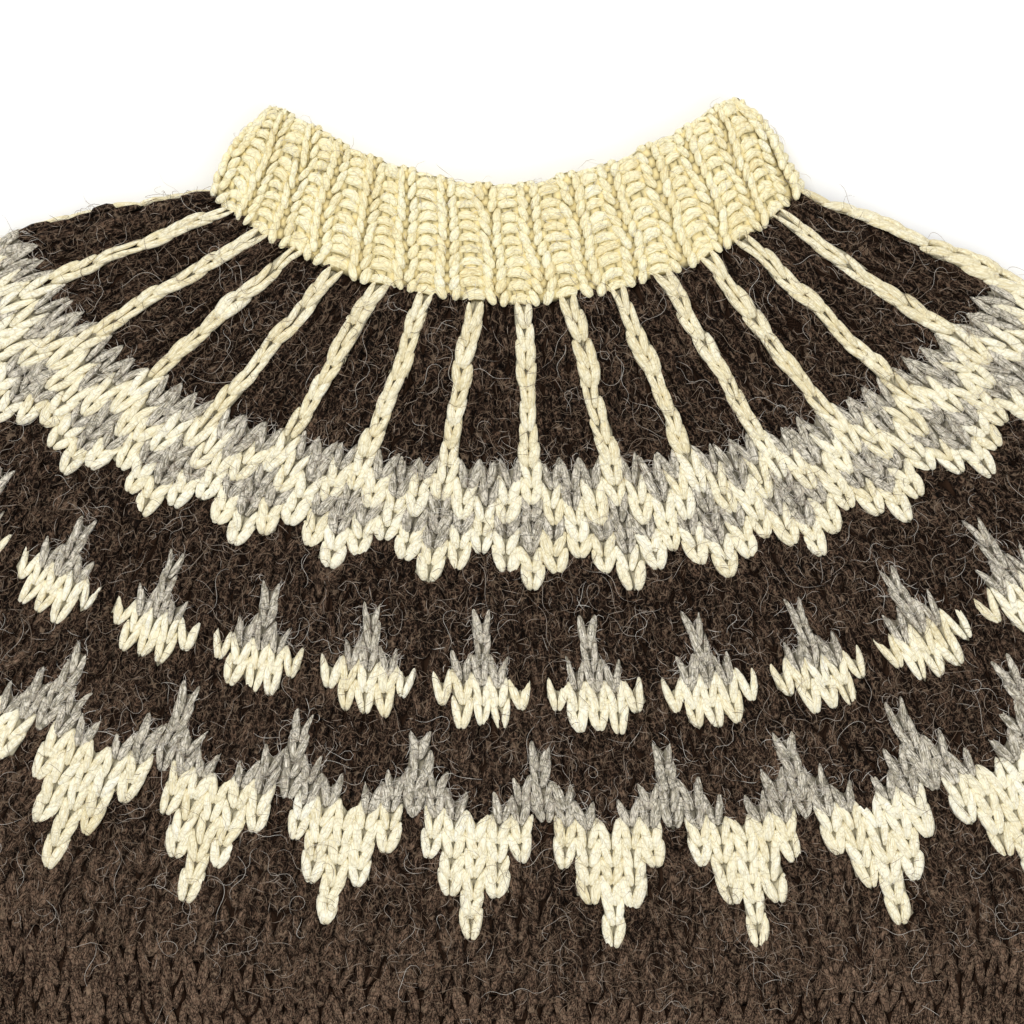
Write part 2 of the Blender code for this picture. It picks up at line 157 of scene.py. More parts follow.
class Crease(NamedTuple):
    """A soft ridge in the front panel, from one point to another, in millimetres."""

    place: str
    start_x: float
    start_y: float
    end_x: float
    end_y: float
    spread: float
    rise: float


CREASES = (
    Crease("left underarm to yoke", -214, -136, -122, -66, 15, 4.6),
    Crease("left underarm to side", -206, -158, -150, -214, 13, 3.2),
    Crease("right underarm to yoke", 202, -150, 128, -84, 14, 4.2),
    Crease("right underarm to side", 196, -176, 134, -226, 15, 3.8),
    Crease("left shoulder", -158, 62, -228, 8, 22, 1.6),
    Crease("right shoulder", 150, 52, 214, -14, 20, 1.8),
    Crease("left sleeve, lengthwise", -338, -72, -474, -214, 18, 3.0),
    Crease("left elbow", -356, -222, -414, -150, 13, 4.8),
    Crease("left forearm", -446, -300, -500, -236, 11, 3.8),
    Crease("right sleeve, lengthwise", 306, -104, 430, -222, 16, 3.4),
    Crease("right elbow", 372, -262, 436, -196, 14, 5.2),
    Crease("right forearm", 452, -336, 506, -288, 12, 3.4),
    Crease("left waist", -236, -262, -126, -346, 24, 3.6),
    Crease("right waist", 206, -290, 88, -356, 21, 4.2),
    Crease("above the hem, left", -176, -432, -72, -452, 19, 3.0),
    Crease("above the hem, right", 26, -446, 150, -430, 23, 3.4),
    Crease("centre front", -38, -256, 22, -330, 30, 1.8),
)


class Wool(Enum):
    """The three wools of the yoke, by the letter that stands for them in the chart."""

    CREAM = "W"
    GREY = "G"
    DARK = "D"


Materials = dict[Wool, bpy.types.Material]

# The yoke's chart, top down: one repeat of each course, from the spoke's own column.
CHART = (
    *["WDD"] * 4,
    *["WDDD"] * 4,
    "WGGG",
    "WWGW",
    "GWWW",
    "GGWG",
    "GWWW",
    "WWDW",
    "WDDD",
    "DDDD",
    "DDDDDD",
    "DDDGDD",
    "DDDGDD",
    "DDGGGD",
    "DWWWWW",
    "DDWWWD",
    "DDDDDD",
    "GDDDDD",
    "GDDDDD",
    "GGDDDG",
    "GGGDGG",
    "DWWWWW",
    "DWWWWW",
    "DDWWWD",
    "DDWWWD",
    "DDDWDD",
    "DDDWDD",
    *["DDDDDD"] * 3,
)


def point(x: float, y: float) -> Array:
    """A point of a table in millimetres, in metres."""
    return np.array([x, y]) * MM


def unit(vectors: Array) -> Array:
    """The vectors, each divided by its length."""
    return vectors / np.maximum(np.linalg.norm(vectors, axis=-1, keepdims=True), 1e-12)


def hermite(start: Array, start_pitch: Array, end: Array, end_pitch: Array, share: Array) -> Array:
    """A cubic from start to end with the given pitches.

    Formula: (2s^3 - 3s^2 + 1) start + (s^3 - 2s^2 + s) start_pitch + (3s^2 - 2s^3) end
    + (s^3 - s^2) end_pitch, with s the share.

    Args:
        start: The first point.
        start_pitch: How fast the curve leaves it, per unit of share.
        end: The last point.
        end_pitch: How fast the curve arrives, per unit of share.
        share: How far along, 0 to 1, one for each point wanted.

    Returns:
        The points, with the coordinates on the last axis.
    """
    s = np.asarray(share, dtype=float)[..., None]
    return (
        (2 * s**3 - 3 * s**2 + 1) * start
        + (s**3 - 2 * s**2 + s) * start_pitch
        + (3 * s**2 - 2 * s**3) * end
        + (s**3 - s**2) * end_pitch
    )


def blend(a: Array, b: Array, share: Array) -> Array:
    """The points at this share of the way from a to b."""
    share = np.asarray(share, dtype=float)[..., None]
    return a * (1 - share) + b * share


def course_at(number: Array) -> Array:
    """The yoke's courses at these numbers, on smooth curves through the table's columns.

    Args:
        number: Course numbers, which may lie between the table's rows or a little outside it.

    Returns:
        The table's columns for each number, on the last axis.
    """
    table = np.array(YOKE)
    numbers = table[:, 0]
    slopes = np.gradient(table, numbers, axis=0)
    number = np.asarray(number, dtype=float)
    row = np.clip(np.searchsorted(numbers, number) - 1, 0, len(YOKE) - 2)
    step = numbers[row + 1] - numbers[row]
    share = (number - numbers[row]) / step
    gap = step[..., None]
    return hermite(table[row], slopes[row] * gap, table[row + 1], slopes[row + 1] * gap, share)


def on_course(course: Array, u: Array) -> Array:
    """Points of a course's front: one cubic from each fold to the centre front, in repeats.

    Args:
        course: The columns of Course, on the last axis.
        u: How far across, 0 at the first fold and 1 at the second.

    Returns:
        Places on the table.
    """
    course = np.asarray(course, dtype=float) * MM
    first, first_pitch = course[..., 1:3], course[..., 3:5]
    centre, centre_pitch = course[..., 5:7], course[..., 7:9]
    second, second_pitch = course[..., 9:11], course[..., 11:13]
    repeat = FIRST_FOLD + ACROSS * np.asarray(u, dtype=float)
    rest = FIRST_FOLD + ACROSS
    before = hermite(
        first, first_pitch * -FIRST_FOLD, centre, centre_pitch * -FIRST_FOLD, 1 - repeat / FIRST_FOLD
    )
    after = hermite(centre, centre_pitch * rest, second, second_pitch * rest, repeat / rest)
    return np.where((repeat < 0)[..., None], before, after)


def join(u: Array) -> Array:
    """The yoke's last course at u, where body and sleeves begin."""
    return on_course(np.array(YOKE[-1]), u)


def sleeve_corner(side: int) -> float:
    """The yoke's u where body, sleeve and underarm meet on this side."""
    share = SLEEVE_REPEATS / ACROSS
    return share if side < 0 else 1 - share


def underarm(side: int) -> Array:
    """The point where a sleeve's lower fold meets the body's side fold."""
    lay = LEFT if side < 0 else RIGHT
    return point(lay.underarm_x, lay.underarm_y)


def body_down() -> Array:
    """The way down the body, a unit vector."""
    return unit(np.array([-BODY_LEAN, -1.0]))


def hem_line(half_width: float, depth: Array) -> tuple[Array, Array]:
    """The two ends of a straight line across the body.

    Args:
        half_width: Half the line's length.
        depth: How far below the last plain course, one for each line.

    Returns:
        The left ends and the right ends.
    """
    down = body_down()
    across = np.array([-down[1], down[0]])
    start = (underarm(-1) + underarm(1)) / 2
    middle = start + down * (BODY_LENGTH + np.asarray(depth, dtype=float)[..., None])
    return middle - across * half_width, middle + across * half_width


def slope_vector(side: int, degrees: float) -> Array:
    """A unit vector that runs out to this side and down by this slope."""
    angle = np.radians(degrees)
    return np.array([side * np.cos(angle), -np.sin(angle)])


def cuff_line(lay: SleeveLay, half_width: float, depth: Array) -> tuple[Array, Array]:
    """The upper and lower end of a straight line across a sleeve.

    Args:
        lay: The sleeve.
        half_width: Half the line's length.
        depth: How far into the cuff, one for each line.

    Returns:
        The upper ends and the lower ends.
    """
    along = slope_vector(lay.side, lay.cuff_slope)
    down_across = np.array([along[1], -along[0]]) * lay.side
    middle = point(lay.cuff_x, lay.cuff_y) + along * np.asarray(depth, dtype=float)[..., None]
    return middle - down_across * half_width, middle + down_across * half_width


def crease_rise(xy: Array) -> Array:
    """How far the soft ridges lift the front panel: each is its rise times exp(-(away/spread)^2).

    Args:
        xy: Places on the table, before they are moved to the frame's origin.

    Returns:
        The rise at each place.
    """
    rise = np.zeros(xy.shape[:-1])
    for crease in CREASES:
        start = point(crease.start_x, crease.start_y)
        run = point(crease.end_x, crease.end_y) - start
        share = (xy - start) @ run / (run @ run)
        nearest = start + np.clip(share, 0, 1)[..., None] * run
        away = np.linalg.norm(xy - nearest, axis=-1) / (crease.spread * MM)
        rise += crease.rise * MM * np.exp(-(away**2))
    return rise


def wander(xy: Array) -> Array:
    """How far hand knitting strays from the even plan: two slow waves each way, under a millimetre.

    Args:
        xy: Places on the table.

    Returns:
        The step sideways at each place.
    """
    waves = 2 * np.pi * (xy @ WANDER_WAVES / MM)
    sideways = np.sin(waves + np.sin(0.7 * waves[..., ::-1]))
    east = sideways[..., 0] + sideways[..., 1]
    north = sideways[..., 2] + sideways[..., 3]
    return WANDER * np.stack([east, north], axis=-1)


@dataclass
class Bundle:
    """Many closed strands of yarn as arrays, ready to be one mesh.

    Attributes:
        points: Vertices.
        quads: Four vertex numbers a row.
        tris: Three vertex numbers a row.
        yarn: For each vertex, millimetres across the strand, along it, and the strand's own number.
        shade: For each vertex, a random tone of its strand, 0 to 1.
    """

    points: Array
    quads: Array
    tris: Array
    yarn: Array
    shade: Array

    @staticmethod
    def joined(bundles: Sequence["Bundle"]) -> "Bundle":
        """All the bundles as one.

        Args:
            bundles: At least one bundle.

        Returns:
            One bundle with every strand.
        """
        starts = np.cumsum([0] + [len(b.points) for b in bundles[:-1]])
        return Bundle(
            np.concatenate([b.points for b in bundles]),
            np.concatenate([b.quads + s for b, s in zip(bundles, starts)]),
            np.concatenate([b.tris + s for b, s in zip(bundles, starts)]),
            np.concatenate([b.yarn for b in bundles]),
            np.concatenate([b.shade for b in bundles]),
        )

    def triangles(self) -> int:
        """How many triangles the mesh has."""
        return 2 * len(self.quads) + len(self.tris)


def sweep(
    path: Array, up: Array, half_width: Array, half_height: Array, sides: Array, shade: Array
) -> Bundle:
    """Closed strands, pointed at both ends, along many paths at once.

    Formula: a ring point is path + side x half_width x cos(a) + up x half_height x sin(a), where
    side is up x run, run is the path's direction, and a goes through sides.

    Args:
        path: (strands, stations, 3). The first and last stations are the points.
        up: The surface's normal at each station, the same shape.
        half_width: (strands, stations) across the strand, along the surface.
        half_height: (strands, stations) off the surface.
        sides: Angles of the ring's vertices, in degrees, counterclockwise.
        shade: (strands,) tones.

    Returns:
        The strands.
    """
    strands, stations = path.shape[:2]
    run = unit(np.gradient(path, axis=1))
    side = unit(np.cross(up, run))
    rise = np.cross(run, side)
    angles = np.radians(sides)
    cos, sin = np.cos(angles), np.sin(angles)
    ring = (
        path[:, 1:-1, None]
        + side[:, 1:-1, None] * (half_width[:, 1:-1, None] * cos)[..., None]
        + rise[:, 1:-1, None] * (half_height[:, 1:-1, None] * sin)[..., None]
    )
    around, rings = len(sides), stations - 2
    points = np.concatenate([path[:, :1], ring.reshape(strands, -1, 3), path[:, -1:]], axis=1)

    steps = np.linalg.norm(np.diff(path, axis=1), axis=-1)
    along = np.concatenate([np.zeros((strands, 1)), np.cumsum(steps, axis=1)], axis=1) / MM
    across = half_width[:, 1:-1, None] * cos / MM
    own = np.broadcast_to(np.arange(strands)[:, None], (strands, points.shape[1]))
    empty = np.zeros((strands, 1))
    yarn = np.stack(
        [
            np.concatenate([empty, across.reshape(strands, -1), empty], axis=1),
            np.concatenate([along[:, :1], np.repeat(along[:, 1:-1], around, axis=1), along[:, -1:]], axis=1),
            own,
        ],
        axis=-1,
    )
    place = 1 + np.arange(rings)[:, None] * around + np.arange(around)
    after = np.roll(place, -1, axis=1)
    quads = np.stack([place[:-1], after[:-1], after[1:], place[1:]], axis=-1).reshape(-1, 4)
    last = points.shape[1] - 1
    first_fan = np.stack([np.zeros(around, int), after[0], place[0]], axis=-1)
    last_fan = np.stack([np.full(around, last), place[-1], after[-1]], axis=-1)
    starts = (np.arange(strands) * points.shape[1])[:, None, None]
    return Bundle(
        points.reshape(-1, 3),
        (quads + starts).reshape(-1, 4),
        (np.concatenate([first_fan, last_fan]) + starts).reshape(-1, 3),
        yarn.reshape(-1, 3),
        np.repeat(shade, points.shape[1]),
    )


def mesh_object(name: str, points: Array, quads: Array, tris: Array) -> bpy.types.Object:
    """A smooth mesh object at the origin, linked to the scene.

    Args:
        name: The piece's name.
        points: Vertices in the frame.
        quads: Four vertex numbers a row.
        tris: Three vertex numbers a row, or none.

    Returns:
        The object.
    """
    mesh = bpy.data.meshes.new(name)
    corners = np.concatenate([quads.ravel(), tris.ravel()]).astype(np.int32)
    starts = np.concatenate([np.arange(len(quads)) * 4, len(quads) * 4 + np.arange(len(tris)) * 3])
    mesh.vertices.add(len(points))
    mesh.vertices.foreach_set("co", points.astype(np.float32).ravel())
    mesh.loops.add(len(corners))
    mesh.loops.foreach_set("vertex_index", corners)
    mesh.polygons.add(len(starts))
    mesh.polygons.foreach_set("loop_start", starts.astype(np.int32))
    mesh.update(calc_edges=True)
    mesh.validate()
    mesh.shade_smooth()
    made = bpy.data.objects.new(name, mesh)
    bpy.context.scene.collection.objects.link(made)
    return made


def write_attribute(thing: bpy.types.Object, name: str, kind: str, domain: str, values: Array) -> None:
    """Stores values on a mesh for its material to read.

    Args:
        thing: The mesh object.
        name: The attribute's name.
        kind: FLOAT, FLOAT_VECTOR or FLOAT_COLOR.
        domain: POINT or FACE.
        values: One row for each point or face.
    """
    made = thing.data.attributes.new(name, kind, domain)
    field_name = {"FLOAT": "value", "FLOAT_VECTOR": "vector", "FLOAT_COLOR": "color"}[kind]
    made.data.foreach_set(field_name, values.astype(np.float32).ravel())


def colour(code: str) -> tuple[float, float, float, float]:
    """An sRGB hex value as linear RGBA: ((c + 0.055) / 1.055)^2.4, or c / 12.92 when dark.

    Args:
        code: Six hex digits.

    Returns:
        Linear red, green and blue, and 1.
    """
    parts = [int(code[i : i + 2], 16) / 255 for i in (0, 2, 4)]
    linear = [c / 12.92 if c <= 0.04045 else ((c + 0.055) / 1.055) ** 2.4 for c in parts]
    return (*linear, 1.0)


def add(
    tree: bpy.types.NodeTree, kind: str, inputs: dict | None = None, **settings: object
) -> bpy.types.Node:
    """Adds a node with its settings, and with values or links on its inputs.

    Args:
        tree: The node tree.
        kind: The node's type name.
        inputs: For input names or numbers, a value or the socket that it is linked to.
        settings: The node's own properties.

    Returns:
        The node.
    """
    made = tree.nodes.new(kind)
    for name, value in settings.items():
        setattr(made, name, value)
    for name, value in (inputs or {}).items():
        if isinstance(value, bpy.types.NodeSocket):
            tree.links.new(value, made.inputs[name])
        else:
            made.inputs[name].default_value = value
    return made


@dataclass(frozen=True)
class FibreLayer:
    """Fine loose fibres drawn on a yarn: thin level lines of a smooth noise, which curl and close.

    Attributes:
        tone: Their colour, as sRGB hex.
        loop: The size of a curl, in millimetres.
        thickness: The width of a fibre, in millimetres.
        strength: How much of the yarn's colour they hide.
        levels: How many level lines the noise's whole range holds; more are denser.
        offset: Moves this layer's pattern away from the others', in millimetres.
    """

    tone: str
    loop: float
    thickness: float
    strength: float
    levels: float
    offset: float


@dataclass(frozen=True)
class LopiWool:
    """Unspun Icelandic wool, knitted by hand: soft, matt, with fibres that lie along the yarn.

    Attributes:
        name: The material's name.
        ground: What shows between the stitches, as sRGB hex. For the cream and grey wools it is darker than
            the yarn: painted shade in the gaps.
        deep: The darkest streaks.
        middle: The yarn's own colour.
        pale: The lightest streaks.
        streak: The width of a streak of fibres, in millimetres.
        contrast: How far the streaks spread from the middle colour, 0 to 1.
        fibres: Layers of loose fibres on top.
        sheen: How much light the nap scatters at a grazing angle.
        gloss: How much the fibres mirror.
        relief: Depth of the streaks, in millimetres.
    """

    name: str
    ground: str
    deep: str
    middle: str
    pale: str
    streak: float
    contrast: float
    fibres: tuple[FibreLayer, ...]
    sheen: float
    gloss: float
    relief: float

    def material(self) -> bpy.types.Material:
        """The wool's material: streaks along the yarn, a tone for each stitch, loose fibres, nap.

        Returns:
            The new material.
        """
        made = bpy.data.materials.new(self.name)
        made.use_nodes = True
        tree = made.node_tree
        shader = tree.nodes["Principled BSDF"]
        yarn = add(tree, "ShaderNodeAttribute", attribute_name="yarn").outputs["Vector"]
        shade = add(tree, "ShaderNodeAttribute", attribute_name="shade").outputs["Fac"]
        place = add(tree, "ShaderNodeTexCoord").outputs["Object"]
        across = 1 / self.streak
        stretched = add(
            tree, "ShaderNodeMapping", {"Vector": yarn, "Scale": (across, across * 0.13, 3.7)}
        ).outputs[0]
        streaks = add(
            tree, "ShaderNodeTexNoise", {"Vector": stretched, "Scale": 1.0, "Detail": 2.0, "Distortion": 0.4}
        ).outputs["Fac"]
        spread = add(
            tree,
            "ShaderNodeMapRange",
            {"Value": streaks, "From Min": 0.3, "From Max": 0.7, "To Min": 0.0, "To Max": self.contrast},
        ).outputs[0]
        tone = add(
            tree, "ShaderNodeMath", {0: shade, 1: 1 - self.contrast, 2: spread}, operation="MULTIPLY_ADD"
        ).outputs[0]
        ramp = add(tree, "ShaderNodeValToRGB", {"Fac": tone})
        stops = ramp.color_ramp.elements
        stops[0].color, stops[1].color = colour(self.deep), colour(self.pale)
        stops[0].position, stops[1].position = 0.12, 0.9
        stops.new(0.5).color = colour(self.middle)
        surface, height = ramp.outputs["Color"], spread
        for layer in self.fibres:
            moved = add(
                tree, "ShaderNodeVectorMath", {0: place, 1: (layer.offset * MM,) * 3}, operation="ADD"
            ).outputs[0]
            noise = add(
                tree,
                "ShaderNodeTexNoise",
                {"Vector": moved, "Scale": 1 / (layer.loop * MM), "Detail": 0.0, "Distortion": 0.6},
            ).outputs["Fac"]
            climb = add(tree, "ShaderNodeMath", {0: noise, 1: layer.levels}, operation="MULTIPLY").outputs[0]
            away = add(tree, "ShaderNodeMath", {0: climb, 1: 0.5}, operation="PINGPONG").outputs[0]
            edge = 0.5 * layer.levels * layer.thickness / layer.loop
            line = add(
                tree,
                "ShaderNodeMapRange",
                {
                    "Value": away,
                    "From Min": edge * 0.3,
                    "From Max": edge * 1.3,
                    "To Min": layer.strength,
                    "To Max": 0.0,
                },
            ).outputs[0]
            surface = add(
                tree,
                "ShaderNodeMix",
                {"Factor": line, 6: surface, 7: colour(layer.tone)},
                data_type="RGBA",
            ).outputs[2]
            height = add(tree, "ShaderNodeMath", {0: height, 1: line}, operation="ADD").outputs[0]
        bump = add(
            tree, "ShaderNodeBump", {"Height": height, "Distance": self.relief * MM, "Strength": 1.0}
        ).outputs["Normal"]
        tree.links.new(surface, shader.inputs["Base Color"])
        tree.links.new(bump, shader.inputs["Normal"])
        shader.inputs["Roughness"].default_value = 0.92
        shader.inputs["Specular IOR Level"].default_value = self.gloss
        shader.inputs["Sheen Weight"].default_value = self.sheen
        shader.inputs["Sheen Roughness"].default_value = 0.6
        return made


# Undyed white fleece: creamy, dense and even, with a few brown guard hairs.
CREAM_WOOL = LopiWool(
    name="undyed_cream_lopi_hand_knitted",
    # Ground darker than the yarn: painted shade in the gaps between stitches.
    ground="ebe1c0",
    deep="e4d5a8",
    middle="fcf4d6",
    pale="fffdef",
    streak=0.3,
    contrast=0.55,
    fibres=(
        FibreLayer("dcc89a", 2.4, 0.16, 0.34, 2.0, 51.0),
        FibreLayer("b8a97c", 2.9, 0.13, 0.24, 2.0, 47.0),
    ),
    sheen=0.1,
    gloss=0.18,
    relief=0.34,
)

# The collar's wool is drawn a little yellower than the yoke's; its ground is darker and tan, painted shade in
# the gaps between the ribs.
COLLAR_WOOL = replace(
    CREAM_WOOL,
    name="undyed_cream_lopi_ribbed_by_hand",
    ground="f6e5ad",
    deep="ead69e",
    middle="fef4c9",
    pale="fffce6",
)

# Light grey heather: white and black fibres carded together, so each streak is seen.
GREY_WOOL = LopiWool(
    name="light_grey_heather_lopi_hand_knitted",
    # Ground darker than the yarn: painted shade in the gaps between stitches.
    ground="a8a08b",
    deep="857e6a",
    middle="d2c8b1",
    pale="fff8e6",
    streak=0.34,
    contrast=1.0,
    fibres=(
        FibreLayer("fff5e2", 2.3, 0.24, 0.65, 2.0, 23.0),
        FibreLayer("68614c", 2.7, 0.22, 0.55, 2.0, 66.0),
    ),
    sheen=0.2,
    gloss=0.18,
    relief=0.5,
)

# Undyed black-brown fleece: very dark brown, with brown and rusty fibres in every stitch; its gaps are darker
# still by the ground's painted shade.
DARK_WOOL = LopiWool(
    name="undyed_black_brown_lopi_hand_knitted",
    ground="33241a",
    deep="080402",
    middle="2b1d14",
    pale="8d7460",
    streak=0.26,
    contrast=0.6,
    fibres=(
        FibreLayer("7c6350", 1.6, 0.17, 0.62, 2.0, 31.0),
        FibreLayer("0a0603", 1.5, 0.2, 0.7, 2.0, 210.0),
        FibreLayer("8c7762", 2.6, 0.15, 0.62, 2.0, 82.0),
        FibreLayer("b19c80", 5.2, 0.14, 0.62, 1.0, 129.0),
    ),
    sheen=0.0,
    gloss=0.1,
    relief=0.34,
)

WOOLS = {Wool.CREAM: CREAM_WOOL, Wool.GREY: GREY_WOOL, Wool.DARK: DARK_WOOL}


@dataclass(frozen=True)
class KnittedGround:
    """The cloth under the raised stitches, and the panel that lies on the table.

    Attributes:
        name: The material's name.
        relief: Depth of a stitch, in millimetres.
    """

    name: str = "stranded_knitted_ground"
    relief: float = 1.6

    def material(self) -> bpy.types.Material:
        """Stitches as relief: each half wale swells to |sin| and sinks at every course's zigzag. Where it
        sinks, the colour is darkened down to half: painted shade between the stitches.

        Returns:
            The new material.
        """
        made = bpy.data.materials.new(self.name)
        made.use_nodes = True
        tree = made.node_tree
        shader = tree.nodes["Principled BSDF"]
        knit = add(tree, "ShaderNodeAttribute", attribute_name="knit").outputs["Vector"]
        tone = add(tree, "ShaderNodeAttribute", attribute_name="tone").outputs["Color"]
        axes = add(tree, "ShaderNodeSeparateXYZ", {0: knit}).outputs
        waves = []
        for axis, turns in ((axes[0], 2 * np.pi), (axes[1], np.pi)):
            angle = add(tree, "ShaderNodeMath", {0: axis, 1: turns}, operation="MULTIPLY").outputs[0]
            sine = add(tree, "ShaderNodeMath", {0: angle}, operation="SINE").outputs[0]
            size = add(tree, "ShaderNodeMath", {0: sine}, operation="ABSOLUTE").outputs[0]
            waves.append(add(tree, "ShaderNodeMath", {0: size, 1: 0.5}, operation="POWER").outputs[0])
        swell = add(tree, "ShaderNodeMath", {0: waves[0], 1: waves[1]}, operation="MULTIPLY").outputs[0]
        place = add(tree, "ShaderNodeTexCoord").outputs["Object"]
        fuzz = add(
            tree, "ShaderNodeTexNoise", {"Vector": place, "Scale": 900.0, "Detail": 3.0}
        ).outputs["Fac"]
        height = add(
            tree, "ShaderNodeMath", {0: fuzz, 1: 0.3, 2: swell}, operation="MULTIPLY_ADD"
        ).outputs[0]
        # Painted shade: the ground's colour is multiplied by 0.5 to 1 with the relief's height, so it is
        # darkest in the hollows between stitches.
        light = add(
            tree,
            "ShaderNodeMapRange",
            {"Value": height, "From Min": 0.1, "From Max": 1.2, "To Min": 0.5, "To Max": 1.0},
        ).outputs[0]
        grey = add(tree, "ShaderNodeCombineXYZ", {0: light, 1: light, 2: light}).outputs[0]
        shaded = add(
            tree,
            "ShaderNodeMix",
            {"Factor": 1.0, 6: tone, 7: grey},
            data_type="RGBA",
            blend_type="MULTIPLY",
        ).outputs[2]
        bump = add(
            tree, "ShaderNodeBump", {"Height": height, "Distance": self.relief * MM}
        ).outputs["Normal"]
        tree.links.new(shaded, shader.inputs["Base Color"])
        tree.links.new(bump, shader.inputs["Normal"])
        shader.inputs["Roughness"].default_value = 0.95
        shader.inputs["Specular IOR Level"].default_value = 0.04
        return made


# A turned edge: the share of the knitting over which its ribs sink, and how deep they sink.
EDGE_FADE = 0.15
EDGE_SINK = 1.4 * MM


@dataclass
class Stitches:
    """Knit stitches on a tube, one entry each.

    Attributes:
        u: The middle of the wale.
        v: Where the legs begin.
        wale: The step of u across one wale.
        course: The step of v along one course, towards the point of the V.
        tone: The yarn's mean tone there, 0 dark to 1 pale.
    """

    u: Array
    v: Array
    wale: Array
    course: Array
    tone: Array

    def kept(self, wanted: Array) -> "Stitches":
        """Only the wanted ones."""
        return Stitches(*(values[wanted] for values in (self.u, self.v, self.wale, self.course, self.tone)))

    @staticmethod
    def row(u: Array, v: float, wale: float, course: float, tone: float = 0.5) -> "Stitches":
        """A course of like stitches, one at each u."""
        size = np.ones(len(u))
        return Stitches(u, size * v, size * wale, size * course, size * tone)


@dataclass
class Tube:
    """A tube of knitting pressed flat: two panels that lie on each other between two folds.

    Attributes:
        name: The CAD node that it dresses.
        wall: The cloth's thickness.
        turned_edge: Whether its last edge is free and rolls over.
        origin: Where the frame's origin is on the table.
    """

    name: str = "tube"
    origin: Array = field(default_factory=lambda: np.zeros(2))
    wall: float = WALL
    turned_edge: bool = False
    flip: float = field(init=False, default=1.0)

    def plan(self, u: Array, v: Array) -> Array:
        """Places on the table for a point across and along the piece."""
        raise NotImplementedError

    def stack(self, v: Array) -> Array:
        """The height of both panels together: two walls and the air between them."""
        return np.full(np.shape(v), 2 * self.wall + LAP)

    def __post_init__(self) -> None:
        """Finds which way round the two directions make a normal that points up."""
        up = self.stance(np.array(0.5), np.array(0.5))[1][2]
        self.flip = 1.0 if up > 0 else -1.0

    def rolled(self, u: Array, v: Array) -> tuple[Array, Array]:
        """Turns the last edge over: a half circle of the wall's half thickness.

        Formula: with e the way to the edge and R the radius, the roll is (1 - e/R) quarter turns,
        the edge is drawn back to R (1 - sin roll) and the surface drops by R (1 - cos roll).

        Args:
            u: Across, 0 to 1.
            v: Along. Past 1 it runs down the inside.

        Returns:
            The v on the plan, and the drop.
        """
        if not self.turned_edge:
            return v, np.zeros_like(v)
        radius = self.wall / 2
        near = 0.99
        one = np.ones_like(v)
        length = np.linalg.norm(self.plan(u, one) - self.plan(u, near * one), axis=-1) / (1 - near)
        roll = np.clip((1 - (1 - v) * length / radius) * np.pi / 2, 0, np.pi)
        drawn_back = 1 - radius * (1 - np.sin(roll)) / length
        flat = np.where(roll <= 0, v, np.where(roll >= np.pi, 2 - v, drawn_back))
        return flat, radius * (1 - np.cos(roll))

    def surface(self, u: Array, v: Array) -> Array:
        """The tube's outer surface, round both folds.

        Formula: with d the way to a fold and r half the stack, the turn is (1 - d/r) quarter
        turns. The plan is drawn back to r (1 - sin turn) from the fold, and the height is
        (stack + crease rise) (1 + cos turn) / 2.

        Args:
            u: Across: 0 to 1 on the front, 1 to 2 on the back, below 0 past the first fold.
            v: Along, 0 to 1.

        Returns:
            Points in the frame.
        """
        u, v = np.broadcast_arrays(np.asarray(u, dtype=float), np.asarray(v, dtype=float))
        u = np.where(u > 1.5, u - 2, u)
        shown = np.clip(np.abs(u), 0, 1)
        v, drop = self.rolled(np.where(u > 1, 2 - u, shown), v)
        radius = self.stack(v) / 2
        step = 1e-3
        zero, one = np.zeros_like(u), np.ones_like(u)
        first = np.linalg.norm(self.plan(zero + step, v) - self.plan(zero, v), axis=-1) / step
        second = np.linalg.norm(self.plan(one, v) - self.plan(one - step, v), axis=-1) / step
        turn_first = (1 - u * first / radius) * np.pi / 2
        turn_second = (1 - (1 - u) * second / radius) * np.pi / 2
        by_first = u < 0.5
        turn = np.clip(np.where(by_first, turn_first, turn_second), 0, np.pi)
        reach = radius * (1 - np.sin(turn))
        folding = np.where(by_first, reach / first, 1 - reach / second)
        under = np.where(by_first, -u, 2 - u)
        flat = np.where(turn <= 0, u, np.where(turn >= np.pi, under, folding))
        xy = self.plan(flat, v)
        level = np.cos(turn)
        z = (self.stack(v) + crease_rise(xy)) * (1 + level) / 2 - drop * level
        return np.concatenate([xy + wander(xy) - self.origin, z[..., None]], axis=-1)

    def stance(self, u: Array, v: Array) -> tuple[Array, Array]:
        """Points of the surface and its outward normals there, by small steps each way.

        Args:
            u: Across.
            v: Along.

        Returns:
            The points and the normals.
        """
        step = 1e-3
        u, v = np.broadcast_arrays(np.asarray(u, dtype=float), np.asarray(v, dtype=float))
        here = self.surface(u, v)
        across = self.surface(u + step, v) - self.surface(u - step, v)
        along = self.surface(u, v + step) - self.surface(u, v - step)
        return here, unit(np.cross(across, along)) * self.flip

    def sunk_at_edge(self, v: Array) -> Array:
        """How far ribs sink at a turned edge, where the rib's relief fades: a smooth bump of v.

        Args:
            v: Along the knitting, 0 at its first course.

        Returns:
            The depth, in metres.
        """
        if not self.turned_edge:
            return np.zeros_like(v)
        near = np.clip(1 - np.abs(v - 1) / EDGE_FADE, 0, 1)
        return EDGE_SINK * near**2 * (3 - 2 * near)

    def wale_width(self, stitches: Stitches) -> Array:
        """The real width of each stitch's wale."""
        half = stitches.wale / 2
        ends = self.surface(stitches.u - half, stitches.v), self.surface(stitches.u + half, stitches.v)
        return np.linalg.norm(ends[1] - ends[0], axis=-1)

    def course_height(self, stitches: Stitches) -> Array:
        """The real height of each stitch's course."""
        half = stitches.course / 2
        ends = self.surface(stitches.u, stitches.v - half), self.surface(stitches.u, stitches.v + half)
        return np.linalg.norm(ends[1] - ends[0], axis=-1)


@dataclass(frozen=True)
class YarnSection:
    """How finely a strand is drawn: its stations, 0 to 1, and its sides, in degrees."""

    stations: tuple[float, ...]
    sides: tuple[float, ...]


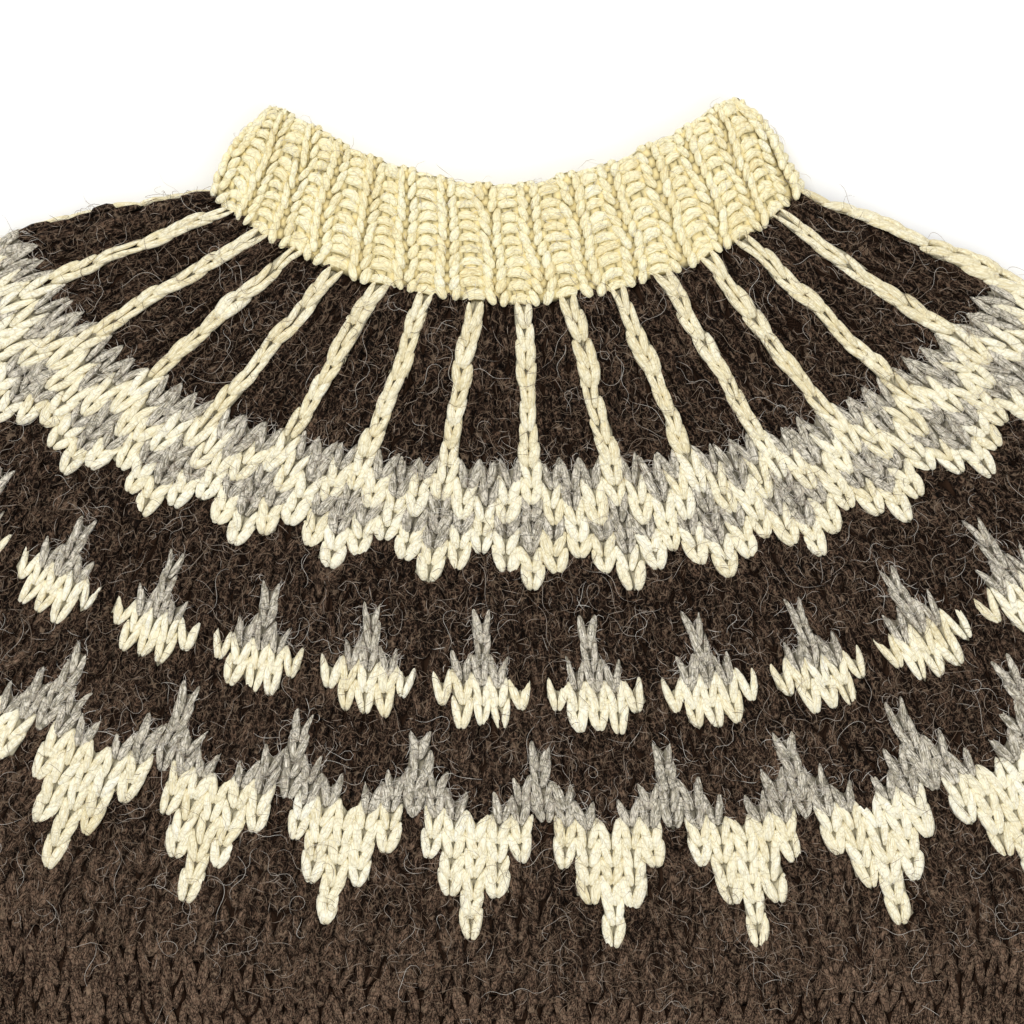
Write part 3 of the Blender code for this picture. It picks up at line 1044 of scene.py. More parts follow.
FINE = YarnSection((0.0, 0.09, 0.27, 0.5, 0.73, 0.91, 1.0), (90, 140, 195, 270, 345, 40))
MEDIUM = YarnSection((0.0, 0.14, 0.38, 0.64, 0.88, 1.0), (90, 150, 220, 320, 30))
PLAIN = YarnSection((0.0, 0.16, 0.5, 0.84, 1.0), (90, 185, 270, 355))
COARSE = YarnSection((0.0, 0.22, 0.7, 1.0), (90, 185, 270, 355))
FAR = YarnSection((0.0, 0.25, 0.7, 1.0), (90, 210, 330))


@dataclass(frozen=True)
class KnitLeg:
    """One leg of a knit stitch: a plump grain of yarn that slants in towards the point of the V.

    Attributes:
        top_across: Where it begins, in wales from the middle.
        foot_across: Where it ends.
        top_along: Where it begins, in courses.
        foot_along: Where it ends.
        half_width: Half its width, in wales.
        half_height: Half its height, in metres.
        depth: How far its middle lies under the surface at its ends, in metres.
        arch: How far it rises between its ends, in metres.
        bend: Over 1 it stays out for longer before it turns in.
    """

    top_across: float = 0.47
    foot_across: float = 0.07
    top_along: float = -0.22
    foot_along: float = 1.5
    half_width: float = 0.245
    half_height: float = 1.35 * MM
    depth: float = 1.1 * MM
    arch: float = 0.9 * MM
    bend: float = 1.05

    def build(
        self,
        tube: Tube,
        stitches: Stitches,
        section: YarnSection,
        rng: np.random.Generator,
        loose: float = 1.0,
    ) -> Bundle:
        """Both legs of every stitch.

        Formula: at w along the leg, across goes from top to foot as w^bend. The width swells as
        2.13 w^0.6 (1 - w)^0.5, fine at the top and rounder at the foot, and the height above
        the ends is the same swell times the arch.

        Args:
            tube: The cloth that they lie on.
            stitches: Where they are.
            section: How finely they are drawn.
            rng: For the unevenness of hand knitting.
            loose: How uneven they are; 1 is the usual amount.

        Returns:
            Two strands for each stitch.
        """
        count = len(stitches.u)
        w = np.array(section.stations)
        swell = 2.13 * w**0.6 * (1 - w) ** 0.5
        width = tube.wale_width(stitches)
        tones = rng.normal(stitches.tone, 0.16)
        shift = rng.normal(0, 0.03 * loose, (count, 1))
        slip = rng.normal(0, 0.06 * loose, (count, 1))
        bundles = []
        for side in (-1, 1):
            lean = rng.normal(0, 0.03 * loose, (count, 1))
            plump = rng.normal(1, 0.08 * loose, (count, 1))
            lift = rng.normal(0, 0.12 * loose, (count, 1)) * MM
            across = self.top_across + (self.foot_across - self.top_across) * w**self.bend
            across = side * (across + lean * w) + shift
            along = self.top_along + (self.foot_along - self.top_along) * w + slip
            u = stitches.u[:, None] + across * stitches.wale[:, None]
            v = stitches.v[:, None] + along * stitches.course[:, None]
            place, up = tube.stance(u, v)
            height = lift + self.arch * swell - self.depth + 0.35 * MM * w - tube.sunk_at_edge(v)
            path = place + up * height[..., None]
            half_width = self.half_width * width[:, None] * plump * swell
            half_height = self.half_height * plump * swell**0.8
            shade = np.clip(tones + rng.normal(0, 0.07, count), 0, 1)
            sides = np.array(section.sides, dtype=float)
            bundles.append(sweep(path, up, half_width, half_height, sides, shade))
        return Bundle.joined(bundles)


@dataclass(frozen=True)
class PurlBump:
    """One purl stitch of a rib: a short bow of yarn that lies across its column.

    Attributes:
        reach: Half its length, in ribs.
        bow: How far its middle stands back from its ends, in courses.
        half_width: Half its width along the column, in courses.
        half_height: Half its height, in metres.
        depth: How far its ends lie under the surface, in metres.
        arch: How far it rises between its ends, in metres.
    """

    reach: float = 0.3
    bow: float = 0.6
    half_width: float = 0.5
    half_height: float = 1.5 * MM
    depth: float = 1.6 * MM
    arch: float = 1.15 * MM

    def build(self, tube: Tube, stitches: Stitches, section: YarnSection, rng: np.random.Generator) -> Bundle:
        """A bow for every stitch.

        Formula: at w along the bow, across is reach (2w - 1), along is half the bow's depth minus
        bow sin(pi w), and the height above the ends is arch sin(pi w).

        Args:
            tube: The cloth that they lie on.
            stitches: Where they are; a wale here is a whole rib.
            section: How finely they are drawn.
            rng: For the unevenness of hand knitting.

        Returns:
            One strand for each stitch.
        """
        count = len(stitches.u)
        w = np.array(section.stations)
        swell = (4 * w * (1 - w)) ** 0.5
        hump = np.sin(np.pi * w)
        height = tube.course_height(stitches)
        slip = rng.normal(0, 0.09, (count, 1))
        tilt = rng.normal(0, 0.22, (count, 1))
        across = self.reach * (2 * w - 1) * rng.normal(1, 0.05, (count, 1))
        along = self.bow * (0.5 - hump) + slip + tilt * (w - 0.5)
        u = stitches.u[:, None] + across * stitches.wale[:, None]
        v = stitches.v[:, None] + along * stitches.course[:, None]
        place, up = tube.stance(u, v)
        height_off = self.arch * hump - self.depth - 0.25 * tube.sunk_at_edge(v)
        path = place + up * height_off[..., None]
        plump = rng.normal(1, 0.06, (count, 1))
        half_width = self.half_width * height[:, None] * plump * swell
        half_height = self.half_height * plump * swell
        shade = np.clip(rng.normal(0.5, 0.16, count), 0, 1)
        return sweep(path, up, half_width, half_height, np.array(section.sides, dtype=float), shade)


@dataclass(frozen=True)
class Hairs:
    """Loose guard hairs that stand off the knitting and curl over it.

    Real ones are about 0.05 mm thick. They are drawn thicker, so that they show at the
    photograph's distance.

    Attributes:
        shortest: The least length, in metres.
        longest: The greatest length, in metres.
        thickness: Their thickness, in metres.
        lift: How far their middle stands off the surface at most, in metres.
        curl: How tightly they curl at most, in turns of a radian per metre.
        stations: Points along each, the two tips among them.
    """

    shortest: float
    longest: float
    thickness: float
    lift: float
    curl: float
    stations: int

    def build(self, tube: Tube, u: Array, v: Array, shade: Array, rng: np.random.Generator) -> Bundle:
        """A hair at each root.

        Formula: on the plane that touches the cloth at the root, the heading at length s is
        start + curl s + a small sine of s; the place is the running sum of its cosine and sine,
        and the height is a low arch, lift sin(pi s / length).

        Args:
            tube: The cloth.
            u: The roots, across.
            v: The roots, along.
            shade: The tone of each hair.
            rng: For lengths, headings and curls.

        Returns:
            One strand for each root.
        """
        count = len(u)
        root, up = tube.stance(u, v)
        flat = np.cross(up, rng.normal(size=(count, 3)))
        first = unit(flat)
        second = np.cross(up, first)
        w = np.linspace(0, 1, self.stations)
        length = rng.uniform(self.shortest, self.longest, (count, 1))
        reach = length * w
        curl = rng.uniform(-1, 1, (count, 1)) ** 3 * self.curl
        wave = rng.uniform(0.3, 1.1, (count, 1)) * np.sin(
            reach * rng.uniform(250, 700, (count, 1)) + rng.uniform(0, 6.3, (count, 1))
        )
        heading = curl * reach + wave
        step = length / (self.stations - 1)
        east = np.cumsum(np.cos(heading) * step, axis=1) - step
        north = np.cumsum(np.sin(heading) * step, axis=1) - step
        lift = rng.uniform(0.25, 1.0, (count, 1)) * self.lift
        height = 0.3 * MM + lift * np.sin(np.pi * w)
        path = root[:, None] + first[:, None] * east[..., None] + second[:, None] * north[..., None]
        path = path + up[:, None] * height[..., None]
        path[..., 2] = np.maximum(path[..., 2], self.thickness)
        taper = self.thickness / 2 * np.broadcast_to(1 - 0.6 * np.abs(2 * w - 1), (count, self.stations))
        ups = np.broadcast_to(up[:, None], path.shape)
        return sweep(path, ups, taper, taper, np.array([90.0, 210.0, 330.0]), shade)


@dataclass(frozen=True)
class LooseFibres:
    """Guard hairs of the fleece: brown ones, and beige to grey-white ones from the other wools.

    A thin smooth hair catches more light than the yarn under it, so it reads as a fine pale line.
    """

    name: str = "loose_guard_hairs_of_wool"

    def material(self) -> bpy.types.Material:
        """A tone for each hair from brown over beige to grey-white.

        Returns:
            The new material.
        """
        made = bpy.data.materials.new(self.name)
        made.use_nodes = True
        tree = made.node_tree
        shader = tree.nodes["Principled BSDF"]
        shade = add(tree, "ShaderNodeAttribute", attribute_name="shade").outputs["Fac"]
        place = add(tree, "ShaderNodeTexCoord").outputs["Object"]
        uneven = add(
            tree, "ShaderNodeTexNoise", {"Vector": place, "Scale": 420.0, "Detail": 1.0}
        ).outputs["Fac"]
        tone = add(
            tree, "ShaderNodeMath", {0: uneven, 1: 0.3, 2: shade}, operation="MULTIPLY_ADD"
        ).outputs[0]
        centred = add(tree, "ShaderNodeMath", {0: tone, 1: 0.15}, operation="SUBTRACT").outputs[0]
        ramp = add(tree, "ShaderNodeValToRGB", {"Fac": centred})
        stops = ramp.color_ramp.elements
        stops[0].color, stops[1].color = colour("3f2d1f"), colour("e9e4da")
        stops[0].position, stops[1].position = 0.0, 1.0
        stops.new(0.35).color = colour("86705a")
        stops.new(0.65).color = colour("b9ada0")
        tree.links.new(ramp.outputs["Color"], shader.inputs["Base Color"])
        shader.inputs["Roughness"].default_value = 0.6
        shader.inputs["Specular IOR Level"].default_value = 0.35
        return made


def settle(thing: bpy.types.Object, material: bpy.types.Material) -> bpy.types.Object:
    """Gives a piece its material, and lets it ride on the one body.

    Args:
        thing: The object.
        material: What it is made of.

    Returns:
        The same object.
    """
    thing.data.materials.append(material)
    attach(thing, "root")
    LOG.info("%s: %d faces", thing.name, len(thing.data.polygons))
    return thing


def strands(name: str, bundle: Bundle, material: bpy.types.Material, slot: str) -> bpy.types.Object:
    """A bundle as a piece of the sweater.

    Args:
        name: The piece's name.
        bundle: Its strands.
        material: Its finish.
        slot: Not used.

    Returns:
        The object.
    """
    points = bundle.points.copy()
    points[:, 2] = np.maximum(points[:, 2], 0.05 * MM)
    made = mesh_object(name, points, bundle.quads, bundle.tris)
    write_attribute(made, "yarn", "FLOAT_VECTOR", "POINT", bundle.yarn)
    write_attribute(made, "shade", "FLOAT", "POINT", bundle.shade)
    LOG.info("%s: %d triangles", name, bundle.triangles())
    return settle(made, material)


# The mesh round a fold, from the front's side to the back's, in shares of the fold's own width.
# The cloth's inner face has a few rows only, its seams are cut this near to the ends, and a rib's
# last rows before a turned edge also show on the back.
FOLD_STATIONS = np.array([1.0, 0.5, 0.0, -0.5, -1.0])
INNER_ROWS = np.linspace(0, 0.9, 5)
SEAM_SHARE = 0.0008
RIB_ROWS_IN_SIGHT = 3.2


@dataclass
class Knitting(Tube):
    """A tube with its stitches: what every piece of the sweater shares.

    Attributes:
        rows: Courses from the first seam to the last.
        wales: Wales across the front at the first seam.
        flat: The cut of the whole tube, all round and along, in metres.
        area: The flat area in square metres, where the cut isn't a rectangle.
        slot: A label for the piece's wool: dark, cream or patterned.
        sink: How far the cloth lies under the surface that the stitches ride on.
        ground: The cloth's colour as sRGB hex, where it isn't its wool's own.
    """

    rows: float = 1.0
    wales: float = 1.0
    flat: tuple[float, float] = (1.0, 1.0)
    area: float | None = None
    slot: str = "dark_wool"
    sink: float = 1.5 * MM
    ground: str = ""

    def wale_number(self, u: Array, row: Array) -> Array:
        """The number of the wale at u, whole at the edges of wales."""
        return u * self.wales + 0 * row

    def wool_of(self, u: Array, row: Array) -> Array:
        """The wool of each place, as its letter."""
        return np.full(np.broadcast(u, row).shape, Wool.DARK.value)

    def front_stations(self) -> Array:
        """Where the cloth's mesh is sampled across the front, clear of the folds."""
        return (np.arange(1, self.wales)) / self.wales

    def back_stations(self) -> Array:
        """Where it is sampled across the back."""
        return np.arange(1, self.wales - 0.49, 0.5) / self.wales

    def ring(self, v: Array) -> Array:
        """The u of every station round the tube, for each v: front, fold, back, fold.

        Between the last station of a panel and the fold's turn the mesh has one wide face.

        Args:
            v: Where the rings are, along the knitting.

        Returns:
            (rings, stations) values of u.
        """
        radius = self.stack(v) / 2
        step = 1e-3
        zero, one = np.zeros_like(v), np.ones_like(v)
        first = np.linalg.norm(self.plan(zero + step, v) - self.plan(zero, v), axis=-1) / step
        second = np.linalg.norm(self.plan(one, v) - self.plan(one - step, v), axis=-1) / step
        front = np.broadcast_to(self.front_stations(), (len(v), len(self.front_stations())))
        back = np.broadcast_to(2 - self.back_stations()[::-1], (len(v), len(self.back_stations())))
        turn = FOLD_STATIONS * radius[:, None]
        turns = 1 - turn / second[:, None], turn[:, ::-1] / first[:, None]
        return np.concatenate([front, turns[0], back, turns[1]], axis=1)

    def cloth(self, material: bpy.types.Material) -> bpy.types.Object:
        """The cloth: a closed thin shell whose courses zigzag as knitted ones do.

        Formula: the outer rings lie on the surface, sunk a little under the raised stitches, and
        each course's ring is pushed half a course towards the point of the V at a wale's middle.
        The inner rings lie a wall's thickness inside.

        Args:
            material: The ground's finish.

        Returns:
            The piece.
        """
        courses = np.arange(0, np.floor(self.rows) + 1) / self.rows
        if courses[-1] < 1:
            courses = np.append(courses, 1.0)
        courses = np.clip(courses, SEAM_SHARE, 1 - SEAM_SHARE)
        u = self.ring(courses)
        seen = np.where(u > 1, 2 - u, np.abs(u))
        row = courses[:, None] * self.rows + 0 * u
        wale = self.wale_number(seen, row)
        point_of_v = 0.5 * (1 - np.abs(2 * (wale % 1) - 1))
        inside = ((courses > courses[0]) & (courses < courses[-1]))[:, None]
        v = np.clip((row + point_of_v * inside) / self.rows, courses[0], courses[-1])
        place, up = self.stance(u, v)
        outer = place - up * (self.sink * np.clip(1 + up[..., 2:], 0, 1))
        inner_v = np.clip(INNER_ROWS, SEAM_SHARE, 1)
        if not self.turned_edge:
            inner_v = np.clip(np.linspace(0, 1, 5), SEAM_SHARE, 1 - SEAM_SHARE)
        inner_u = self.ring(inner_v)
        inner_place, inner_up = self.stance(inner_u, np.broadcast_to(inner_v[:, None], inner_u.shape))
        inner = (inner_place - inner_up * self.wall)[::-1]
        rings = np.concatenate([outer, inner])
        count, around = rings.shape[:2]
        number = np.arange(count * around).reshape(count, around)
        right, below = np.roll(number, -1, axis=1), np.roll(number, -1, axis=0)
        corner = np.roll(right, -1, axis=0)
        quads = np.stack([number, right, corner, below], axis=-1).reshape(-1, 4)
        points = rings.reshape(-1, 3)
        points[:, 2] = np.maximum(points[:, 2], 0)
        a, b, c, d = (points[quads[:, i]] for i in range(4))
        volume = (a * (np.cross(b, c) + np.cross(c, d))).sum()
        if volume < 0:
            quads = quads[:, ::-1]
        made = mesh_object(f"{self.name}_cloth", points, quads, np.zeros((0, 3), int))
        inner_seen = np.where(inner_u > 1, 2 - inner_u, np.abs(inner_u))[::-1]
        inner_row = np.broadcast_to((inner_v * self.rows)[::-1, None], inner_u.shape)
        all_rows = np.concatenate([row, inner_row])
        all_seen = np.concatenate([seen, inner_seen])
        knit = np.stack([self.wale_number(all_seen, all_rows), all_rows, 0 * all_rows], axis=-1)
        write_attribute(made, "knit", "FLOAT_VECTOR", "POINT", knit.reshape(-1, 3))
        middle = (all_seen + np.roll(all_seen, -1, axis=1)) / 2
        wools = self.wool_of(middle, all_rows).ravel()
        # Each face takes its wool's ground colour. The cream, collar and grey grounds are darker than their
        # yarn: painted shade in the gaps.
        tones = np.zeros((len(wools), 4))
        for wool, finish in WOOLS.items():
            tones[wools == wool.value] = colour(self.ground or finish.ground)
        write_attribute(made, "tone", "FLOAT_COLOR", "FACE", tones)
        settle(made, material)
        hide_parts(self.name)
        return made

    def pitch_at(self, v: float) -> tuple[float, float]:
        """How much u it takes to go round each fold to the underside, at this v.

        Args:
            v: Along the knitting, 0 at its first course.

        Returns:
            The u before the first fold and after the second.
        """
        radius = self.stack(np.array(v)) / 2
        ends = self.plan(np.array([0, 1e-3, 1 - 1e-3, 1]), np.full(4, v))
        first = np.linalg.norm(ends[1] - ends[0]) / 1e-3
        second = np.linalg.norm(ends[3] - ends[2]) / 1e-3
        return float(radius / first), float(radius / second)

    def plain_stitches(self, offset: float, narrowing: float = 0.0) -> Stitches:
        """Every stitch of the front, and those that go round the folds.

        Args:
            offset: How far the first course begins past the seam, in courses.
            narrowing: How many wales are lost by the last course.

        Returns:
            The stitches, course by course.
        """
        parts = []
        for row in range(int(np.floor(self.rows))):
            start = (row + offset) / self.rows
            wales = round(self.wales - narrowing * row / self.rows)
            before, after = self.pitch_at(float(np.clip(start, 0, 1)))
            first = int(np.floor(-before * wales))
            last = int(np.ceil((1 + after) * wales))
            middles = (np.arange(first, last) + 0.5) / wales
            parts.append(Stitches.row(middles, start, 1 / wales, 1 / self.rows, PLAIN_TONE))
        return gathered(parts)

    def ribbing(self, ribs: float, phase: float, towards_seam: bool, rng: np.random.Generator) -> Bundle:
        """A knit-one-purl-one rib over the front and over the turned edge of both panels.

        Args:
            ribs: Knit ribs across the front.
            phase: The first knit rib's place, in ribs from the first fold.
            towards_seam: Whether the V's point at the first seam and not at the edge.
            rng: For the unevenness of hand knitting.

        Returns:
            The strands of the knit ribs and of the purl columns.
        """
        knit, purl = [], []
        course = (-1 if towards_seam else 1) / self.rows
        for row in range(int(np.ceil(self.rows * 1.1)) + 1):
            before, after = self.pitch_at(float(np.clip(row / self.rows, 0, 1)))
            over_back = row > self.rows - RIB_ROWS_IN_SIGHT
            last = 2 - before if over_back else 1 + after
            numbers = np.arange(np.ceil(-before * ribs - phase), last * ribs - phase)
            knit_from = row + 1.15 if towards_seam else row - 0.1
            for kind, begin, shift in ((knit, knit_from, 0.0), (purl, row + 0.3, 0.5)):
                middles = (numbers + phase + shift) / ribs
                kind.append(Stitches.row(middles, begin / self.rows, 1 / ribs, course))
        rib_leg = KnitLeg(
            top_across=0.24,
            foot_across=0.085,
            top_along=-0.05,
            foot_along=1.42,
            half_width=0.112,
            half_height=1.5 * MM,
            depth=0.75 * MM,
            arch=0.8 * MM,
            bend=1.0,
        )
        return Bundle.joined(
            [
                rib_leg.build(self, gathered(knit), self.rib_section, rng, 0.75),
                PurlBump().build(self, gathered(purl), self.rib_section, rng),
            ]
        )

    rib_section = COARSE


def gathered(parts: Iterable[Stitches]) -> Stitches:
    """Several sets of stitches as one.

    Args:
        parts: The sets to put one after another.

    Returns:
        One set with all their stitches.
    """
    parts = list(parts)
    return Stitches(
        np.concatenate([p.u for p in parts]),
        np.concatenate([p.v for p in parts]),
        np.concatenate([p.wale for p in parts]),
        np.concatenate([p.course for p in parts]),
        np.concatenate([p.tone for p in parts]),
    )


def scattered(tube: Tube, count: int, rng: np.random.Generator, past: float = 0.01) -> tuple[Array, Array]:
    """Even places on a tube's front: more are drawn than wanted, and kept by the area there.

    Args:
        tube: The tube.
        count: How many are wanted.
        rng: Where they come from.
        past: How far past the folds they may lie, as a share of the width.

    Returns:
        The u and the v of each.
    """
    u = rng.uniform(-past, 1 + past, count * 4)
    v = rng.uniform(0, 1, count * 4)
    step = 1e-3
    across = tube.surface(u + step, v) - tube.surface(u, v)
    along = tube.surface(u, v + step) - tube.surface(u, v)
    area = np.linalg.norm(np.cross(across, along), axis=-1)
    kept = rng.uniform(0, area.max(), len(u)) < area
    return u[kept][:count], v[kept][:count]


# The dark fleece is blackest at the neck and browner towards the body; the spokes are a little dull
SPOKE_ROWS = 8
# Tones from 0, the wool's deep colour, to 1, its pale one: the spokes where they start, the dark
# wool at the neck and at the yoke's foot, and the plain stitches below it.
SPOKE_TONE = 0.1
NECK_TONE = 0.22
BODY_TONE = 0.8
PLAIN_TONE = 1.0
SPOKE_LEG = KnitLeg(top_across=0.41, foot_across=0.1, foot_along=1.38, half_width=0.28, depth=0.9 * MM)
DARK_LEG = KnitLeg(half_width=0.29, half_height=1.15 * MM, depth=1.1 * MM, arch=0.55 * MM)


@dataclass
class Yoke(Knitting):
    """The round yoke: spokes, a band of diamonds and two bands of crown motifs."""

    name: str = "yoke"
    rows: float = YOKE_COURSES
    wales: float = 6 * ACROSS
    flat: tuple[float, float] = (1.26, 0.213)
    area: float | None = 0.2
    slot: str = "patterned_wool"
    sink: float = 0.95 * MM

    def plan(self, u: Array, v: Array) -> Array:
        """Courses 0 to the last, one after the other."""
        return on_course(course_at(np.asarray(v) * YOKE_COURSES), u)

    def stack(self, v: Array) -> Array:
        """As high as the collar at the neck, easing down to two plain walls.

        Args:
            v: Along the knitting, 0 at its first course.

        Returns:
            The height, in metres.
        """
        share = np.clip(np.asarray(v) * YOKE_COURSES / NECK_EASE_COURSES, 0, 1)
        ease = 1 - share**2 * (3 - 2 * share)
        return 2 * WALL + LAP + 2 * (COLLAR_WALL - WALL) * ease

    def period(self, row: Array) -> Array:
        """Stitches per repeat in each course."""
        lengths = np.array([len(line) for line in CHART])
        return lengths[np.clip(np.floor(row + 1e-6), 0, len(CHART) - 1).astype(int)]

    def wale_number(self, u: Array, row: Array) -> Array:
        """Whole half a wale to each side of a spoke's middle."""
        return (FIRST_FOLD + ACROSS * u) * self.period(row) + 0.5 + 0 * row

    def wool_of(self, u: Array, row: Array) -> Array:
        """The chart's letter.

        Args:
            u: Round the tube, 0 to 1 over the front.
            row: The course's number in the chart.

        Returns:
            The letter of the wool, for each u.
        """
        row = np.clip(np.floor(row + 1e-6), 0, len(CHART) - 1).astype(int)
        widest = max(len(line) for line in CHART)
        letters = np.array([list(line.ljust(widest)) for line in CHART])
        period = self.period(row)
        column = np.floor(self.wale_number(u, row)).astype(int) % period
        return letters[row, column]

    def front_stations(self) -> Array:
        """Fine enough for each course's own zigzag, whatever its stitches."""
        return (np.arange(-7.0, 6.26, 1 / 24) - FIRST_FOLD) / ACROSS

    def back_stations(self) -> Array:
        """Half as many."""
        return self.front_stations()[::2]

    def stitches(self) -> dict[Wool, Stitches]:
        """Every stitch of the front, by its wool.

        Returns:
            The stitches of each wool.
        """
        parts: dict[Wool, list[Stitches]] = {wool: [] for wool in Wool}
        for row, line in enumerate(CHART):
            period, v = len(line), row / YOKE_COURSES
            before, after = self.pitch_at(v)
            first = int(np.ceil((FIRST_FOLD - before * ACROSS) * period))
            last = int(np.floor((FIRST_FOLD + ACROSS + after * ACROSS) * period))
            numbers = np.arange(first, last + 1)
            u = (numbers / period - FIRST_FOLD) / ACROSS
            letters = np.array(list(line))[numbers % period]
            spoke = SPOKE_TONE if row < SPOKE_ROWS else 0.5
            dark = NECK_TONE + (BODY_TONE - NECK_TONE) * v**3
            tones = {Wool.CREAM: spoke, Wool.GREY: 0.5, Wool.DARK: dark}
            for wool in Wool:
                wanted = u[letters == wool.value]
                wale = 1 / period / ACROSS
                parts[wool].append(Stitches.row(wanted, v, wale, 1 / YOKE_COURSES, tones[wool]))
        return {wool: gathered(sets) for wool, sets in parts.items()}

    def dress(self, ground: bpy.types.Material, wools: Materials, rng: np.random.Generator) -> None:
        """Builds the yoke's cloth and its stitches, one piece for each wool.

        Args:
            ground: The cloth's material.
            wools: The material of each wool.
            rng: For the unevenness of hand knitting.
        """
        cloth = self.cloth(ground)
        sections = {Wool.CREAM: FINE, Wool.GREY: FINE, Wool.DARK: PLAIN}
        legs = {
            Wool.CREAM: KnitLeg(),
            Wool.GREY: KnitLeg(half_width=0.225),
            Wool.DARK: DARK_LEG,
        }
        loose = {Wool.CREAM: 1.0, Wool.GREY: 1.5, Wool.DARK: 2.5}
        for wool, stitches in self.stitches().items():
            spoke = (stitches.v < (SPOKE_ROWS - 0.5) / YOKE_COURSES) & (wool is Wool.CREAM)
            section = sections[wool]
            bundle = legs[wool].build(self, stitches.kept(~spoke), section, rng, loose[wool])
            if spoke.any():
                spokes = SPOKE_LEG.build(self, stitches.kept(spoke), section, rng, 1.4)
                bundle = Bundle.joined([bundle, spokes])
            name = f"yoke_stitches_{wool.name.lower()}"
            strands(name, bundle, wools[wool], self.slot)


@dataclass
class Collar(Knitting):
    """The stand collar, ribbed and turned in, so that its edge is a round fold."""

    name: str = "collar"
    wall: float = COLLAR_WALL
    turned_edge: bool = True
    rows: float = 10.4
    wales: float = 2 * ACROSS
    flat: tuple[float, float] = (0.39, 0.036)
    slot: str = "cream_wool"
    sink: float = 0.4 * MM
    # The collar's darker tan ground: painted shade in the gaps between the ribs.
    ground: str = COLLAR_WOOL.ground
    rib_section = FINE

    def plan(self, u: Array, v: Array) -> Array:
        """Straight wales from the yoke's first course to the turned edge, rounded at its corners.

        Args:
            u: Round the tube, 0 to 1 over the front.
            v: Along the knitting, 0 at its first course.

        Returns:
            Points on the table, in metres.
        """
        u = np.asarray(u, dtype=float)
        v = np.asarray(v, dtype=float)
        flat = blend(on_course(np.array(YOKE[0]), u), on_course(np.array(COLLAR_EDGE), u), v)
        from_fold = np.minimum(u, 1 - u) * ACROSS / COLLAR_CORNER_REPEATS
        drop = COLLAR_CORNER * np.clip(1 - from_fold, 0, 1) ** 2
        scallop = COLLAR_SCALLOP * np.cos(2 * np.pi * (FIRST_FOLD + ACROSS * u))
        return flat - ((drop + scallop) * v**3)[..., None] * np.array([0.0, 1.0])

    def wool_of(self, u: Array, row: Array) -> Array:
        """Cream all over."""
        return np.full(np.broadcast(u, row).shape, Wool.CREAM.value)

    def front_stations(self) -> Array:
        """Four for each rib, clear of the wide turn at the collar's corners."""
        return (np.arange(-6.75, 6.01, 0.25) - FIRST_FOLD) / ACROSS

    def back_stations(self) -> Array:
        """Four for each rib."""
        return self.front_stations()

    def dress(self, ground: bpy.types.Material, wools: Materials, rng: np.random.Generator) -> None:
        """Builds the collar's cloth and its ribs.

        Args:
            ground: The cloth's material.
            wools: The material of each wool.
            rng: For the unevenness of hand knitting.
        """
        cloth = self.cloth(ground)
        bundle = self.ribbing(ACROSS, (-FIRST_FOLD - 0.5) % 1, True, rng)
        ribs = strands("collar_ribs", bundle, wools[Wool.CREAM], self.slot)


# The body's first rows are in the photo's view and are knitted as the yoke's dark stitches are.
# The rest, seen from further off, has fuller legs with fewer points.
BODY_NEAR_ROWS = 4
NEAR_LEG = KnitLeg(foot_across=0.05, half_width=0.25, half_height=1.2 * MM, depth=1.0 * MM, arch=0.5 * MM)
BODY_LEG = KnitLeg(foot_across=0.07, half_width=0.25, half_height=1.2 * MM, depth=1.15 * MM, arch=0.65 * MM)


@dataclass
class Body(Knitting):
    """The body, front and back in one tube, from the underarms to the hem rib."""

    name: str = "body"
    rows: float = 55.0
    wales: float = BODY_STITCHES
    flat: tuple[float, float] = (0.924, 0.325)
    sink: float = 0.95 * MM

    def top(self, u: Array) -> Array:
        """The top seam: underarm stitches, the yoke's last course, underarm stitches.

        Args:
            u: Round the tube, 0 to 1 over the front.

        Returns:
            Points on the table, in metres.
        """
        u = np.asarray(u, dtype=float)
        share = UNDERARM_STITCHES / BODY_STITCHES
        first, second = sleeve_corner(-1), sleeve_corner(1)
        inner = first + (second - first) * np.clip((u - share) / (1 - 2 * share), 0, 1)
        left = blend(underarm(-1), join(np.array(first)), np.minimum(u / share, 1))
        right = blend(join(np.array(second)), underarm(1), np.maximum((u - 1 + share) / share, 0))
        before, after = (u < share)[..., None], (u > 1 - share)[..., None]
        return np.where(before, left, np.where(after, right, join(inner)))

    def plan(self, u: Array, v: Array) -> Array:
        """Courses that start as the top seam and straighten towards the hem.

        Args:
            u: Round the tube, 0 to 1 over the front.
            v: Along the knitting, 0 at its first course.

        Returns:
            Points on the table, in metres.
        """
        u, v = np.broadcast_arrays(np.asarray(u, dtype=float), np.asarray(v, dtype=float))
        left_end, right_end = hem_line(BODY_HALF_WIDTH, np.array(0.0))
        down = body_down() * BODY_LENGTH
        flare = np.array([SIDE_FLARE * BODY_LENGTH, 0.0])
        left = hermite(underarm(-1), down - flare, left_end, down, v)
        right = hermite(underarm(1), down + flare, right_end, down, v)
        bow = self.top(u) - blend(underarm(-1), underarm(1), u)
        fade = np.maximum(0.0, 1 - v / BODY_FADE)[..., None] ** 2
        return blend(left, right, u) + bow * fade

    def dress(self, ground: bpy.types.Material, wools: Materials, rng: np.random.Generator) -> None:
        """Builds the body's cloth and its stitches.

        Args:
            ground: The cloth's material.
            wools: The material of each wool.
            rng: For the unevenness of hand knitting.
        """
        cloth = self.cloth(ground)
        stitches = self.plain_stitches(-0.3)
        near = stitches.v < BODY_NEAR_ROWS / self.rows
        stitches.tone[near] = BODY_TONE
        bundle = Bundle.joined(
            [
                NEAR_LEG.build(self, stitches.kept(near), MEDIUM, rng, 1.7),
                BODY_LEG.build(self, stitches.kept(~near), FAR, rng, 1.4),
            ]
        )
        on_it = strands("body_stitches", bundle, wools[Wool.DARK], self.slot)


# How many stitches a sleeve's front loses from the yoke to the cuff.
SLEEVE_NARROWING = 7


